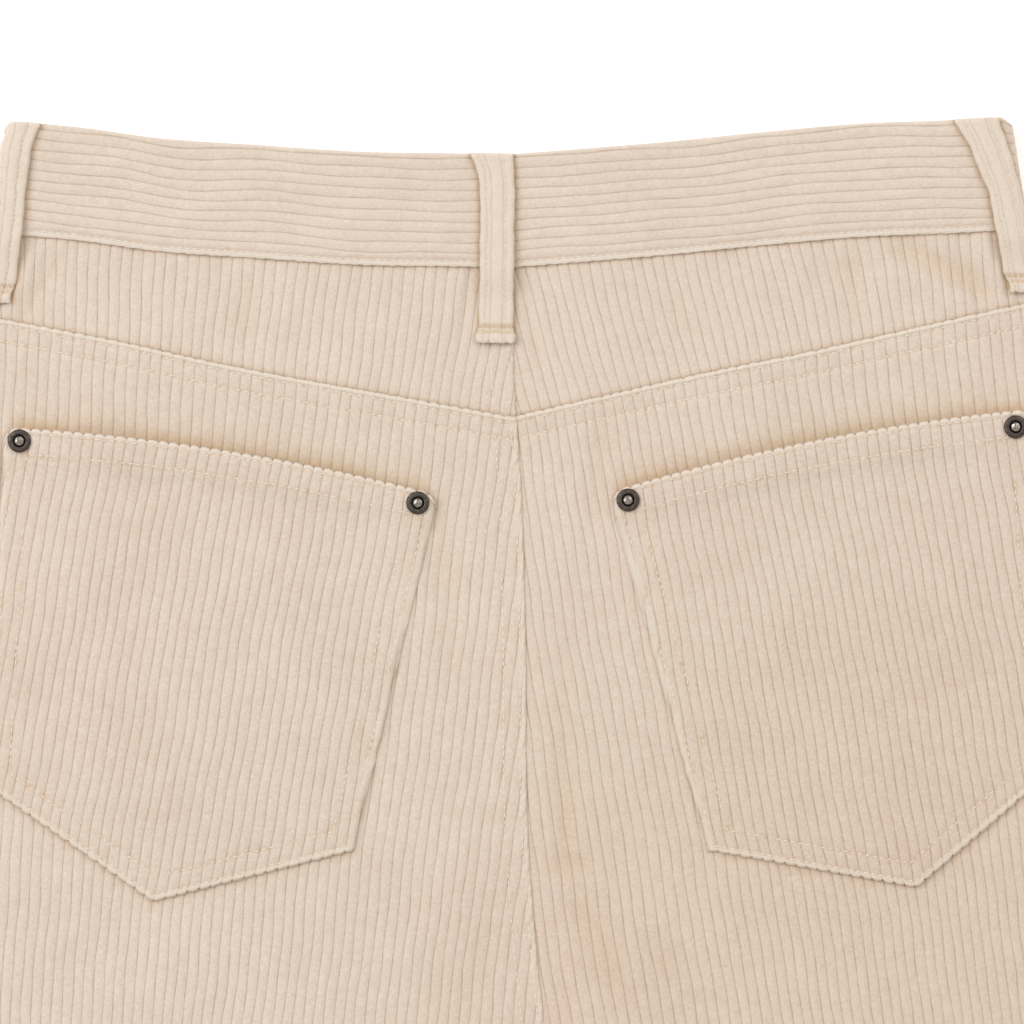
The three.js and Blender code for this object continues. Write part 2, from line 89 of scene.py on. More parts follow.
# Sewing
STITCH = 2.7
THREAD = 0.28
SUNK = 0.14  # stitches on the back lie up to this much deeper in the pile
LOOP_STITCH = 1.9
TACK_STITCH = 1.1
FINE_THREAD = 0.2
ON_CLOTH = 0.22  # height of a row's stitches over the cloth's form
UNDER_CLOTH = 0.24  # and over the floor, where they are on the front
SEAM_ROWS = (2.3, 8.2)  # rows of stitches, by their distance from the sewn edge
POCKET_ROWS = (2.2, 8.4)
MOUTH_ROWS = (2.0, 9.4)
BAND_ROWS = (2.3,)
BAND_LIP = 0.4  # the waistband's sewn edge is this far below its lower edge
BAND_STITCHES = 1.9  # height of the waistband's row over its lower edge
BAND_SHADE = (2.8,)  # where the dent of that row is darkest
BAND_SHADE_TOP = 3.3
TACK_ROWS = (5.2, 3.5)  # above a loop's foot
TACK_DENTS = (5.2, 3.4)
LAP_OVER = 0.6  # the upper of two lapped edges passes the seam by this much
LAP_UNDER = 4.0  # and the lower one goes on under it
TUCK = 0.4
CENTRE_TUCK = 0.22

# Heights above the surface
RIM = CLOTH + 0.7
SEAT_TOP = 7.0
HEM_TOP = 6.3
BAND_TOP = 8.2
BAND_CORNER = 2.5
YOKE_STEP = 0.55
LAP_RISE = 0.5
LAP_FADE = 9
LEG_HEM = 25
HEM_ROW = LEG_HEM - 3
LEG_HEM_RISE = 0.6
MOUTH_HEM = 11
MOUTH_RISE = 0.9

# Main sizes
BAND_HEIGHT = 40.5
CROTCH_Y = -325
HEM_Y = -1065
HEM_TILT = math.tan(math.radians(5))
FRONT_DIP = 22
SIDE_X = 175
LAP_WIDTH = 10
FLY_END_Y = -205
FLY_ACROSS = (-24, 16)  # the fly strip's sides, from the front edge
FLY_ROWS = (36, 42)  # rows of stitches, from the front edge
FLY_ROW_TOP = -66
FLY_ROW_BEND = -150  # below this, the rows bend to the front edge
BUTTON = {"x": -3, "below": 20, "radius": 8.5, "thickness": 1.6}
FRONT_LOOP_X = 105
LOOP_LENGTH = 67
LOOP_WIDTH = 12
LOOP_HOOK = 0.2
LOOP_FOLD = 1.2  # a loop's top bends over the waistband's edge within this much
POCKET_CORNER = 5.5
POCKET_HEIGHT = 148

# The lines of the laid garment, as on the solids
WAIST = {
    "across": [0, 20, 55, 90, 125, 155, 182],
    "left": [0, 0.3, 0.9, 3.2, 5.6, 9.6, 12.0],
    "right": [0, 1.5, 4.4, 7.9, 10.9, 12.1, 13.6],
}
YOKE_SEAM = {
    "across": [0, 40, 75, 105, 143, 183, 210],
    "left": [94.4, 87.2, 81.0, 75.2, 66.9, 59.3, 54.5],
    "right": [94.4, 85.2, 77.4, 71.4, 62.8, 53.9, 48.5],
}
OUTLINE = {
    "y": [16, 11, 2, -9, -28, -60, -100, -150, -200, -260, -325, -400, -500, -650, -800, -1065],
    "left": [179.2, 180, 182.8, 184.2, 186.6, 193, 205, 220, 233, 244.5, 253, 259, 265, 274, 284, 303],
    "right": [178.8, 179.2, 180.4, 182.1, 185.6, 193, 205, 220, 233, 244.5, 253, 259, 265, 274, 284, 303],
}
FORK = {
    "y": [-325, -333, -350, -400, -500, -650, -800, -1065],
    "apart": [0, 4.5, 9, 19, 38, 62, 79, 102],
}
CENTRE = {
    "y": [16, -41, -94, -121, -175, -235, -280, -325, -420, -700, -1065],
    "x": [-1.5, -1, 1.2, 3.0, 4.5, 5.0, 7.9, 12, 12, 5, 0],
}
POCKETS = {
    "left": {
        "top_inner": (-27.1, -121.5),
        "top_outer": (-181.1, -97.6),
        "low_inner": (-56.8, -248.9),
        "tip": (-128.2, -267.1),
        "low_outer": (-188.0, -225.4),
        "bow": 4.0,
    },
    "right": {
        "top_inner": (35.4, -120.5),
        "top_outer": (186.5, -91.0),
        "low_inner": (70.2, -248.8),
        "tip": (144.6, -262.1),
        "low_outer": (193.5, -220.0),
        "bow": 4.0,
    },
}
LOOPS = {
    "centre": {
        "drop": [0, 5, 9, 16, 60, 67],
        "inner": [0.6, 0.8, 0.9, 1.0, 0.5, 0.4],
        "outer": [-15.6, -13.1, -11.9, -11.4, -11.9, -12.4],
        "rows": [0.25, 0.80],
    },
    "left": {
        "corner": 3.6,
        "drop": [0, 4, 30, 64],
        "inner": [12.4, 11.6, 11.4, 13.0],
        "outer": [-1.9, -0.6, 0.8, 1.6],
        "rows": [0.32, 0.84],
    },
    "right": {
        "corner": 2.2,
        "drop": [0, 10, 20, 28, 62],
        "inner": [22.0, 17.0, 14.6, 12.8, 13.2],
        "outer": [5.0, 3.4, 1.8, 1.0, 1.6],
        "rows": [0.20, 0.76],
    },
}
# Folds, creases and buckles: x, y, turn from upright in degrees, half length, width, height
FOLDS = [
    (27, -178, 3, 75, 13, -0.6),
    (-14, -205, -4, 55, 12, 0.45),
    (-62, -352, 62, 48, 15, 0.8),
    (-88, -392, 50, 60, 17, -0.9),
    (88, -348, -64, 52, 15, 0.8),
    (108, -396, -52, 56, 18, -0.9),
    (-205, -420, -14, 95, 16, 0.6),
    (214, -470, 10, 110, 15, 0.55),
    (-150, -640, 74, 46, 17, -0.9),
    (-186, -684, 66, 42, 14, 0.6),
    (176, -622, -70, 50, 16, -0.85),
    (158, -668, -78, 38, 15, 0.6),
    (-176, -850, -6, 120, 18, 0.55),
    (208, -880, 8, 105, 17, 0.5),
    (-214, -980, -9, 60, 14, -0.5),
]
# Small creases, too fine for the solids
CREASES = [
    (-174, -44, 28, 16, 3.0, 0.9),
    (-169, -50, 30, 15, 2.6, -0.7),
    (172, -42, -14, 15, 3.0, 0.8),
    (166, -50, -16, 14, 2.8, -0.7),
    (-16, -52, 8, 18, 2.4, -0.5),
    (-20, -50, 12, 16, 2.4, 0.45),
    (7, -60, -8, 22, 2.6, -0.5),
    (11, -58, -10, 20, 2.6, 0.4),
    (-95, -56, 4, 13, 6, -0.35),
    (-108, -52, 2, 12, 5, 0.3),
    (-82, -54, 3, 12, 5, 0.3),
    (155, -41, -63, 24, 4.2, -1.2),
    (151, -50, -62, 24, 4.6, 1.0),
    (126, -40, 78, 16, 3.6, -0.5),
    (122, -45, -6, 14, 6, -0.4),
    (134, -44, -5, 13, 5, 0.35),
    (108, -48, -8, 13, 6, 0.3),
    (60, -56, -10, 14, 6, -0.3),
    (31, -112, 6, 26, 4.5, -0.55),
    (24, -114, 4, 28, 4.5, 0.4),
    (-24, -150, -3, 34, 4, -0.4),
    (-31, -165, -6, 40, 3.4, 0.5),
    (20, -240, -3, 60, 5, -0.35),
    (-8, -262, 4, 40, 5, 0.3),
    (36, -268, -6, 38, 6, -0.4),
    (-26, -286, 4, 30, 6, -0.3),
    (52, -236, -14, 34, 4, 0.4),
    (40, -165, -12, 30, 3.6, 0.45),
    (18, -230, -2, 24, 3, -0.5),
    (20, -254, 82, 11, 3, -0.8),
    (22, -262, 78, 13, 4, 0.5),
    (28, -276, -20, 26, 5, -0.7),
    (39, -272, -26, 26, 5, 0.5),
    (49, -284, -46, 16, 5, -0.6),
    (16, -294, -8, 24, 4, -0.6),
    (-18, -256, 8, 26, 5, 0.5),
    (-12, -288, 14, 28, 5, -0.55),
    (-30, -274, 20, 26, 6, 0.45),
]
# Creases of the legs, deeper than on the solids
LEG_CREASES = [
    (-150, -628, 76, 70, 7.6, 2.25),
    (-152, -646, 74, 66, 6.8, -1.95),
    (-196, -672, 60, 44, 6, 1.8),
    (-120, -690, 98, 34, 6.8, -1.35),
    (-170, -600, 84, 40, 6, -1.35),
    (158, -612, -72, 72, 7.6, 2.4),
    (160, -632, -70, 68, 6.8, -1.95),
    (206, -668, -60, 40, 6, 1.65),
    (124, -684, -96, 36, 6.8, -1.35),
    (-60, -374, 54, 46, 8, 1.1),
    (-74, -392, 52, 44, 8, -1),
    (-96, -430, 44, 50, 9, 0.8),
    (84, -372, -52, 46, 8, 1.1),
    (98, -394, -50, 42, 8, -1),
    (122, -436, -42, 50, 9, 0.7),
    (-228, -540, -6, 70, 6.8, 1.5),
    (230, -560, 8, 80, 6.8, 1.5),
    (-170, -900, -8, 110, 8.5, 1.35),
    (-214, -960, -4, 80, 6.8, -1.2),
    (196, -880, 6, 120, 8.5, 1.5),
    (160, -985, 10, 56, 6.8, -1.2),
    (236, -1010, 4, 44, 6.8, 1.2),
    (-132, -566, 66, 34, 5, -0.8),
    (-226, -640, 58, 26, 5, 0.9),
    (-148, -716, 88, 40, 6, 0.9),
    (186, -574, -60, 36, 5, -0.9),
    (140, -648, -80, 30, 5, 0.8),
    (232, -706, -68, 28, 6, 0.8),
    (-150, -1010, -14, 34, 6, 0.9),
    (-252, -1000, 8, 34, 6, -0.8),
    (214, -1016, 12, 34, 6, 0.8),
]
# Lean of the wales from upright, in degrees, where + is down to the left
LEAN = {
    "across": [0, 60, 120, 180, 250],
    "left": [7.5, 6.6, 4.8, 3.2, 2.2],
    "right": [-8.0, -10.0, -8.6, -6.0, -4.4],
}
YOKE_LEAN = {
    "across": [0, 30, 60, 110, 150, 200],
    "left": [10.5, 8.6, 7.0, 4.8, 2.2, 0.6],
    "right": [-14.0, -14.0, -13.6, -12.6, -7.0, -3.2],
}
LEG_LEAN = 5.3
POCKET_LEAN = {"left": 9.6, "right": -10.2}
LEAN_Y = -190  # where the wales of the backs are evenly spaced
YOKE_LEAN_Y = -66
POCKET_LEAN_Y = -180
LEG_MIDDLE = 120  # where a leg panel's rows meet the height of its top edge
LEG_FOOT = 200  # and that of its hem
SLANT_REACH = 160  # within this much of an edge, the rows turn to follow it
LEG_START = 300  # below this, a wale's lean turns into the leg's within the span
LEG_SPAN = 220
# Soft buckles of the laid waistband
BUCKLES = [
    (-118, -16, 78, 26, 6, -0.8),
    (-98, -12, 70, 24, 6, 0.65),
    (-140, -4, 74, 20, 5, 0.5),
    (-70, -22, 60, 16, 8, -0.5),
    (-38, -20, 20, 16, 9, -0.7),
    (-22, -18, 10, 18, 5, 0.5),
    (60, -18, -20, 20, 10, -0.5),
    (118, -8, -30, 22, 9, -0.65),
    (142, -12, -24, 20, 8, 0.55),
]


def curve(table, key, value):
    """A smooth function through the columns of a table, by Hermite curves as on the solids."""
    order = np.argsort(table[key])
    keys = np.array(table[key], float)[order]
    values = np.array(table[value], float)[order]
    lower = np.maximum(np.arange(len(keys)) - 1, 0)
    upper = np.minimum(np.arange(len(keys)) + 1, len(keys) - 1)
    slopes = (values[upper] - values[lower]) / (keys[upper] - keys[lower])

    def read(at):
        at = np.asarray(at, float)
        i = np.clip(np.searchsorted(keys, at) - 1, 0, len(keys) - 2)
        span = keys[i + 1] - keys[i]
        t = np.clip((at - keys[i]) / span, 0, 1)
        bend = t * t * (3 - 2 * t)
        inside = values[i] + (values[i + 1] - values[i]) * bend
        inside = inside + span * (t * (1 - t) ** 2 * slopes[i] - t * t * (1 - t) * slopes[i + 1])
        before = np.minimum(at - keys[0], 0) * slopes[0]
        after = np.maximum(at - keys[-1], 0) * slopes[-1]
        return inside + before + after

    return read


def lerp(a, b, t):
    return a + (b - a) * t


def ease(at, low, high):
    """0 below low, 1 above high, and smooth between."""
    t = np.clip((at - low) / (high - low), 0, 1)
    return t * t * (3 - 2 * t)


def bump(at, middle, wide):
    return np.exp(-(((at - middle) / wide) ** 2))


waist_of = {side: curve(WAIST, "across", side) for side in SIGN}
yoke_seam_of = {side: curve(YOKE_SEAM, "across", side) for side in SIGN}
outline_of = {side: curve(OUTLINE, "y", side) for side in SIGN}
lean_of = {side: curve(LEAN, "across", side) for side in SIGN}
yoke_lean_of = {side: curve(YOKE_LEAN, "across", side) for side in SIGN}
centre = curve(CENTRE, "y", "x")
fork_of = curve(FORK, "y", "apart")


def by_side(x, table):
    """The value of a pair of curves at x, whichever side it is on."""
    return np.where(np.asarray(x) < 0, table["left"](np.abs(x)), table["right"](np.abs(x)))


def waist(x):
    return by_side(np.clip(x, -SIDE_X, SIDE_X), waist_of)


def yoke_seam(x):
    return -by_side(x, yoke_seam_of)


def band_edge(x):
    return waist(x) - BAND_HEIGHT


def below_yoke(x, y):
    """Distance downwards from the upper edge of a back panel, which lies over the yoke."""
    return yoke_seam(x) + LAP_OVER - y


def left_of_seam(x, y):
    """Distance to the left from the upper edge of the centre seam."""
    return centre(y) + LAP_OVER - x


def outline(x, y):
    """Distance from x = 0 to the outline at y, on the side of x."""
    return np.where(np.asarray(x) < 0, outline_of["left"](y), outline_of["right"](y))


def apart(y):
    return np.where(np.asarray(y) > CROTCH_Y, 0, fork_of(np.minimum(y, CROTCH_Y)))


def hem(x):
    return HEM_Y + np.maximum(0, np.abs(x) - 102) * HEM_TILT


def front_waist(x):
    across = np.clip(np.abs(x) / SIDE_X, 0, 1)
    return lerp(waist(-SIDE_X), waist(SIDE_X), ease(x, -90, 90)) - FRONT_DIP * (1 - across**2)


def front_edge(y):
    return centre(y) + LAP_WIDTH * ease(y, FLY_END_Y - 8, FLY_END_Y + 22)


def from_outline(x, y):
    return np.maximum(0, outline(x, y) - np.abs(x))


def from_fork(x, y):
    above = np.hypot(x - centre(CROTCH_Y), y - CROTCH_Y)
    beside = np.maximum(0, np.abs(x - centre(y)) - apart(y))
    return np.where(np.asarray(y) > CROTCH_Y, above, beside)


def roll(distance, reach):
    """How the cloth rolls over at an edge: a quarter of an ellipse, from 0 at the edge to 1."""
    return np.sqrt(1 - (1 - np.clip(distance / reach, 0, 1)) ** 2)


def folds(rows, x, y):
    total = 0
    for fold_x, fold_y, turn, half, wide, height in rows:
        turn = math.radians(turn)
        dx, dy = x - fold_x, y - fold_y
        along = dx * math.sin(turn) + dy * math.cos(turn)
        off = dx * math.cos(turn) - dy * math.sin(turn)
        total = total + height * np.exp(-((off / wide) ** 2) - (along / half) ** 4)
    return total


def back_top(x, y):
    crest = lerp(SEAT_TOP, HEM_TOP, ease(-y, 300, 700)) + folds(FOLDS, x, y)
    reach = 6 + 8 * ease(-y, 20, 160)
    edge = roll(from_outline(x, y), reach) * roll(from_fork(x, y), 13)
    return RIM + (crest - RIM) * edge


def flatness(x, y):
    return roll(from_outline(x, y), 14)


def panel_top(x, y):
    lap = LAP_RISE * np.exp(-np.maximum(0, yoke_seam(x) - y) / LAP_FADE)
    layers = LEG_HEM_RISE * (1 - ease(y - hem(x), LEG_HEM - 1, LEG_HEM + 2))
    return back_top(x, y) + (lap + layers) * flatness(x, y)


def yoke_top(x, y):
    return back_top(x, y) - YOKE_STEP * flatness(x, y)


def band_top(x, y):
    r = BAND_TOP / 2
    return r * (1 + roll(from_outline(x, y), r))


BUTTON_Y = float(front_waist(BUTTON["x"])) - BUTTON["below"]


def front_lift(x, y):
    to_button = np.hypot(x - BUTTON["x"], y - BUTTON_Y)
    over_button = (BUTTON["thickness"] + GAP) * (1 - ease(to_button, 14, 30))
    aside = np.abs(np.abs(x) - FRONT_LOOP_X)
    below = front_waist(x) - LOOP_LENGTH - y
    over_loop = (1 - ease(aside, 10, 24)) * (1 - ease(below, 6, 26))
    return np.maximum(over_button, (FRONT_STRAP + GAP) * over_loop)


# From the plan to the frame: the foot of the inseam is the garment's lowest point
PLAN_Y = cad_low.y / MM - float(hem(float(apart(HEM_Y)) + GAP / 2))


def to_frame(x, y, z):
    """Plan millimetres to the frame's metres."""
    x, y, z = np.broadcast_arrays(x, y, z)
    return np.stack([x, y + PLAN_Y, z], axis=-1) * MM


# Relief of the pile and the sewing


def pile(wale, depth=WALE_DEPTH):
    """Height of the pile across the wales: a broad crown with a narrow groove at each whole number."""
    off = np.abs(wale - np.round(wale))
    return -depth * np.exp(-((off / 0.1) ** 2)) - 0.25 * depth * (1 - 2 * off) ** 2


def scallop(wale):
    """Waves along an edge that is cut across the wales, one for each wale."""
    return pile(wale, 1.0) + 0.25


def tufted(shape, seed, size=TUFTS):
    """Small random heights of a brushed surface, in millimetres."""
    return np.random.default_rng(seed).normal(0, size, shape)


def tufted_inside(share, seed):
    """The same for a panel, but none at its rims, where columns of its grid meet."""
    return tufted(share.shape, seed) * ((share > 0) & (share < 1))


def beads(x, y):
    """Uneven lumps along an edge, about a stitch long, from -1.5 to 1.5."""
    short = np.sin(1.75 * (x + 0.6 * y) + 1.3 * np.sin(x / 7.1 + y / 5.3))
    return short + 0.5 * np.sin(0.83 * (x - y) + 0.4)


def sewn_edge(distance, rows, lumps=0.0):
    """Relief beside a turned and stitched edge: its puffed lip, and a dent along each row."""
    height = (0.42 + 0.13 * lumps) * bump(distance, 1.2, 0.9) - 0.8 * (1 - roll(distance, 0.9))
    for row in rows:
        height = height - (0.34 + 0.1 * lumps) * bump(distance, row, 0.5)
        height = height + 0.12 * bump(distance, row + 1.8, 1.2)
    return height


def row_shade(distance, rows, lumps):
    """Shade in the dents of rows of stitches."""
    return sum(bump(distance, row, 0.42) * np.maximum(0.1, 0.42 + 0.42 * lumps) for row in rows)


def flattened(distance, rows):
    """How much of the pile's relief is left beside rows of stitches."""
    left = 1 - 0.55 * bump(distance, 0.6, 1.3)
    for row in rows:
        left = left * (1 - 0.6 * bump(distance, row, 0.8))
    return left


def waver(x, y):
    """Slow sideways drift of the wales, in millimetres."""
    slow = 0.34 * np.sin(y / 19 + x / 37) + 0.22 * np.sin(y / 8.3 - x / 23 + 1.7)
    return slow + 0.12 * np.sin(y / 4.1 + x / 11 + 0.6)


def wander(wale, along):
    """Each wale's own drift, in millimetres."""
    return 0.13 * np.sin(along / 6.1 + 2.1 * wale) + 0.06 * np.sin(along / 2.9 - 2.7 * wale + 1)


# Making cloth


def steps_of(first, last):
    """Columns from one wale to another."""
    return np.array([n + s for n in range(first, last) for s in WALE_STEPS] + [last])


def follow_wales(plan, line, wales, levels, pitch):
    """Where the wales of a piece meet its rows: plan x and y, the wale there, and the share across.
    Wales that run off the piece end on its rim."""
    wale, level = np.meshgrid(wales, levels, indexing="ij")
    share = np.full(wale.shape, 0.5)
    for _ in range(12):
        x, y = plan(share, level)
        reach = plan(1, level)[0] - plan(0, level)[0]
        share = np.clip(share + (line(wale, y) - x) / reach, 0, 1)
    x, y = plan(share, level)
    for _ in range(3):
        wale = wale + (x - line(wale, y)) / pitch
    return x, y, wale, share


def bm_mesh(name, bm):
    mesh = bpy.data.meshes.new(name)
    bm.to_mesh(mesh)
    bm.free()
    return mesh


def grid_mesh(name, where, uv, worn, shade, closed):
    """A mesh from a grid of points, with the wales' UV map and the wear and shade of its places."""
    columns, rows = where.shape[:2]
    bm = bmesh.new()
    bmesh.ops.create_grid(bm, x_segments=columns - 1, y_segments=rows - 1, size=1)
    mesh = bm_mesh(name, bm)
    grid = np.empty(len(mesh.vertices) * 3, np.float32)
    mesh.vertices.foreach_get("co", grid)
    grid = (grid.reshape(-1, 3) + 1) / 2
    i = np.rint(grid[:, 0] * (columns - 1)).astype(int)
    j = np.rint(grid[:, 1] * (rows - 1)).astype(int)
    mesh.vertices.foreach_set("co", where[i, j].ravel())
    corners = np.empty(len(mesh.loops), np.int32)
    mesh.loops.foreach_get("vertex_index", corners)
    wales = mesh.uv_layers.new(name="wales")
    wales.data.foreach_set("uv", uv[i, j][corners].ravel())
    for key, values in (("worn", worn), ("shade", shade)):
        mesh.attributes.new(key, "FLOAT", "POINT").data.foreach_set("value", values[i, j].ravel())
    bm = bmesh.new()
    bm.from_mesh(mesh)
    bmesh.ops.remove_doubles(bm, verts=bm.verts, dist=WELD * MM)
    if closed:
        bmesh.ops.holes_fill(bm, edges=[e for e in bm.edges if e.is_boundary], sides=0)
    bm.to_mesh(mesh)
    bm.free()
    return mesh


def new_object(name, data):
    made = bpy.data.objects.new(name, data)
    bpy.context.collection.objects.link(made)
    return made


def new_piece(name, mesh, materials, node=None):
    mesh.shade_smooth()
    piece = new_object(name, mesh)
    for finish in materials:
        mesh.materials.append(finish)
    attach(piece, "root")
    if node:
        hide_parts(node)
    return piece


def add_wall(piece, thickness):
    """Thickness inwards from a piece's outer face."""
    wall = piece.modifiers.new("wall", "SOLIDIFY")
    wall.thickness = thickness * MM
    wall.offset = -1


def cloth_piece(node, where, uv, worn, shade, flip, closed=False):
    """A piece of corduroy in a node's place, from grids of its points, UV map, wear and shade."""
    grids = [where, uv] + [np.broadcast_to(value, where.shape[:2]) for value in (worn, shade)]
    if flip:
        grids = [grid[::-1] for grid in grids]
    name = f"{node}_cloth"
    return new_piece(name, grid_mesh(name, *grids, closed), [corduroy], node)


def panel(node, x, y, z, wale, flip=False, worn=0.0, shade=0.0, thickness=SHELL):
    """A laid panel: its outer face and its thickness inwards."""
    uv = np.stack([wale, y * UV_ALONG], axis=-1)
    piece = cloth_piece(node, to_frame(x, y, z), uv, worn, shade, flip)
    add_wall(piece, thickness)


# Materials


YELLOWISH = (0.698, 0.600, 0.512, 1)
PINKISH = (0.704, 0.586, 0.506, 1)
FUZZ = (0.79, 0.71, 0.625, 1)
# The grooves' tan: partly the weave's own colour, partly painted shade in the narrow grooves
GROOVE_WEAVE_AND_SHADE_TINT = (0.72, 0.66, 0.58, 1)
# Painted shade: the first tint where the shade attribute reaches 1, and the second, darker one as it goes on
# to 1.6, in stitch dents and bar tacks
SHADE_TINT = (0.89, 0.77, 0.58, 1)
DEEP_SHADE_TINT = (0.62, 0.50, 0.37, 1)
WARM_TINT = (0.965, 0.93, 0.905, 1)
WARM_SPOT = (0.13, (PLAN_Y - 300) * MM, 0)


def shader(name, roughness, **sockets):
    """A material, a function that adds nodes to it, and one that joins them to its surface."""
    material = bpy.data.materials.new(name)
    material.use_nodes = True
    tree = material.node_tree
    surface = tree.nodes["Principled BSDF"]
    surface.inputs["Roughness"].default_value = roughness
    for key, value in sockets.items():
        surface.inputs[key.replace("_", " ")].default_value = value

    def node(kind, settings=None, **inputs):
        made = tree.nodes.new("ShaderNode" + kind)
        for key, value in (settings or {}).items():
            setattr(made, key, value)
        for key, value in inputs.items():
            numbered = key[0] == "i" and key[1:].isdigit()
            socket = made.inputs[int(key[1:]) if numbered else key]
            if isinstance(value, bpy.types.NodeSocket):
                tree.links.new(value, socket)
            else:
                socket.default_value = value
        return made

    def join(socket, name):
        tree.links.new(socket, surface.inputs[name])

    return material, node, join


def maths(node, operation, *values, clamp=False):
    inputs = {f"i{n}": value for n, value in enumerate(values)}
    return node("Math", {"operation": operation, "use_clamp": clamp}, **inputs).outputs[0]


def remap(node, value, low, high, first=0.0, last=1.0, kind="LINEAR"):
    """A value's range from low to high, spread from first to last."""
    settings = {"interpolation_type": kind}
    return node("MapRange", settings, i0=value, i1=low, i2=high, i3=first, i4=last).outputs[0]


def noise(node, where, scale, detail=2.0, roughness=0.5):
    made = node("TexNoise", Vector=where, Scale=scale, Detail=detail, Roughness=roughness)
    return made.outputs[0]


def mix_colours(node, amount, first, second, blend="MIX"):
    mixed = node("Mix", {"data_type": "RGBA", "blend_type": blend}, i0=amount, i6=first, i7=second)
    return mixed.outputs[2]


def tinted(node, colour, tint):
    return mix_colours(node, 1.0, colour, tint, "MULTIPLY")


def grey(node, texture):
    """The middle range of a noise, as a grey."""
    level = remap(node, texture, 0.25, 0.75)
    return node("CombineColor", i0=level, i1=level, i2=level).outputs[0]


def in_grooves(node, across, along, worn):
    """1 in the wales' grooves and 0 on their crowns, uneven along each wale and faint where worn. The grooves
    are tinted with the weave's own tan and with painted shade.
    """
    nearest = maths(node, "ROUND", across)
    off = maths(node, "ABSOLUTE", maths(node, "SUBTRACT", across, nearest))
    groove = remap(node, off, 0.01, 0.105, 1.0, 0.0, "SMOOTHSTEP")
    spot = node("CombineXYZ", i0=maths(node, "MULTIPLY", nearest, 3.7), i1=along).outputs[0]
    strength = remap(node, noise(node, spot, 1.1), 0.3, 0.7, 0.55, 1.15)
    kept = maths(node, "MULTIPLY_ADD", worn, -0.8, 1.0, clamp=True)
    kept = maths(node, "MULTIPLY", kept, strength)
    return maths(node, "MULTIPLY", groove, kept, clamp=True)


def make_corduroy():
    """Cotton corduroy: pale wales, tan grooves that are partly painted shade, a brushed nap, and slight
    painted shade over the cloth from its shade attribute.
    """
    material, node, join = shader("corduroy", 0.95, Sheen_Weight=0.12, Sheen_Roughness=0.5)
    wales = node("SeparateXYZ", Vector=node("UVMap", {"uv_map": "wales"}).outputs[0])
    across, along = wales.outputs[0], wales.outputs[1]
    worn = node("Attribute", {"attribute_name": "worn"}).outputs["Fac"]
    shade = node("Attribute", {"attribute_name": "shade"}).outputs["Fac"]
    groove = in_grooves(node, across, along, worn)

    place = node("TexCoord").outputs["Object"]
    patches = noise(node, place, 34.0, 3.0, 0.6)
    flecks = noise(node, place, 210.0)
    nap = noise(node, place, 900.0, 3.0, 0.7)
    tufts = noise(node, place, 2200.0, 1.0)
    fine, coarse = maths(node, "MULTIPLY", across, 9.0), maths(node, "MULTIPLY", along, 5.0)
    streaks = noise(node, node("CombineXYZ", i0=fine, i1=coarse).outputs[0], 1.0)

    broad = remap(node, noise(node, place, 7.0), 0.35, 0.65)
    pale = mix_colours(node, broad, YELLOWISH, PINKISH)
    far = node("VectorMath", {"operation": "DISTANCE"}, i0=place, i1=WARM_SPOT).outputs["Value"]
    near = remap(node, far, 0.04, 0.24, 1.0, 0.0, "SMOOTHSTEP")
    pale = mix_colours(node, near, pale, tinted(node, pale, WARM_TINT))
    for amount, texture in ((0.14, streaks), (0.10, patches), (0.08, flecks), (0.26, nap)):
        pale = mix_colours(node, amount, pale, grey(node, texture), "SOFT_LIGHT")
    pale = mix_colours(node, worn, pale, mix_colours(node, 0.7, pale, FUZZ))
    # Grooves tinted tan: the weave's own colour and painted shade
    colour = mix_colours(node, groove, pale, tinted(node, pale, GROOVE_WEAVE_AND_SHADE_TINT))
    # Painted shade from the shade attribute, darker still where it passes 1 in stitch dents and bar tacks
    shaded = mix_colours(node, shade, colour, tinted(node, colour, SHADE_TINT))
    deep_shade = remap(node, shade, 1.0, 1.6)
    join(mix_colours(node, deep_shade, shaded, tinted(node, colour, DEEP_SHADE_TINT)), "Base Color")

    grain = maths(node, "MULTIPLY_ADD", tufts, 0.5, nap)
    join(node("Bump", Height=grain, Strength=0.6, Distance=0.0003).outputs[0], "Normal")
    return material


def make_thread():
    material, node, join = shader("thread", 0.75, Sheen_Weight=0.15)
    twist = noise(node, node("TexCoord").outputs["Object"], 2400.0, 1.0)
    join(mix_colours(node, twist, (0.75, 0.665, 0.575, 1), (0.87, 0.79, 0.70, 1)), "Base Color")
    join(node("Bump", Height=twist, Strength=0.4, Distance=0.0001).outputs[0], "Normal")
    return material


def make_metal(name, dark, light, roughness):
    """Old gunmetal: mottled, with a hammered surface."""
    material, node, join = shader(name, roughness, Metallic=1.0)
    place = node("TexCoord").outputs["Object"]
    pebbles = node("TexVoronoi", Vector=place, Scale=1500.0).outputs[0]
    stain = noise(node, place, 900.0)
    join(mix_colours(node, stain, dark, light), "Base Color")
    join(node("Bump", Height=pebbles, Strength=0.5, Distance=0.00025).outputs[0], "Normal")
    return material


corduroy = make_corduroy()
thread = make_thread()
gunmetal = make_metal("gunmetal", (0.045, 0.036, 0.033, 1), (0.16, 0.135, 0.12, 1), 0.45)
black_metal = make_metal("black_metal", (0.010, 0.009, 0.009, 1), (0.03, 0.027, 0.025, 1), 0.5)
bright_metal = make_metal("bright_metal", (0.22, 0.19, 0.17, 1), (0.50, 0.45, 0.41, 1), 0.25)


# The leg panels


def leg_plan(side, top_edge, inside):
    """The plan of a leg panel: share 0 at the centre or inseam and 1 at the outseam, by level rows."""
    sign = SIGN[side]
    top = float(top_edge(sign * LEG_MIDDLE))
    low = float(hem(LEG_FOOT))

    def plan(share, level):
        near_top = ease(level, top - SLANT_REACH, top)
        near_hem = 1 - ease(level, low, low + SLANT_REACH)
        y = level
        for _ in range(6):
            x = lerp(inside(y), sign * outline(sign, y), share)
            y = level + near_top * (top_edge(x) - top) + near_hem * (hem(x) - low)
        return x, y

    return plan, top, low


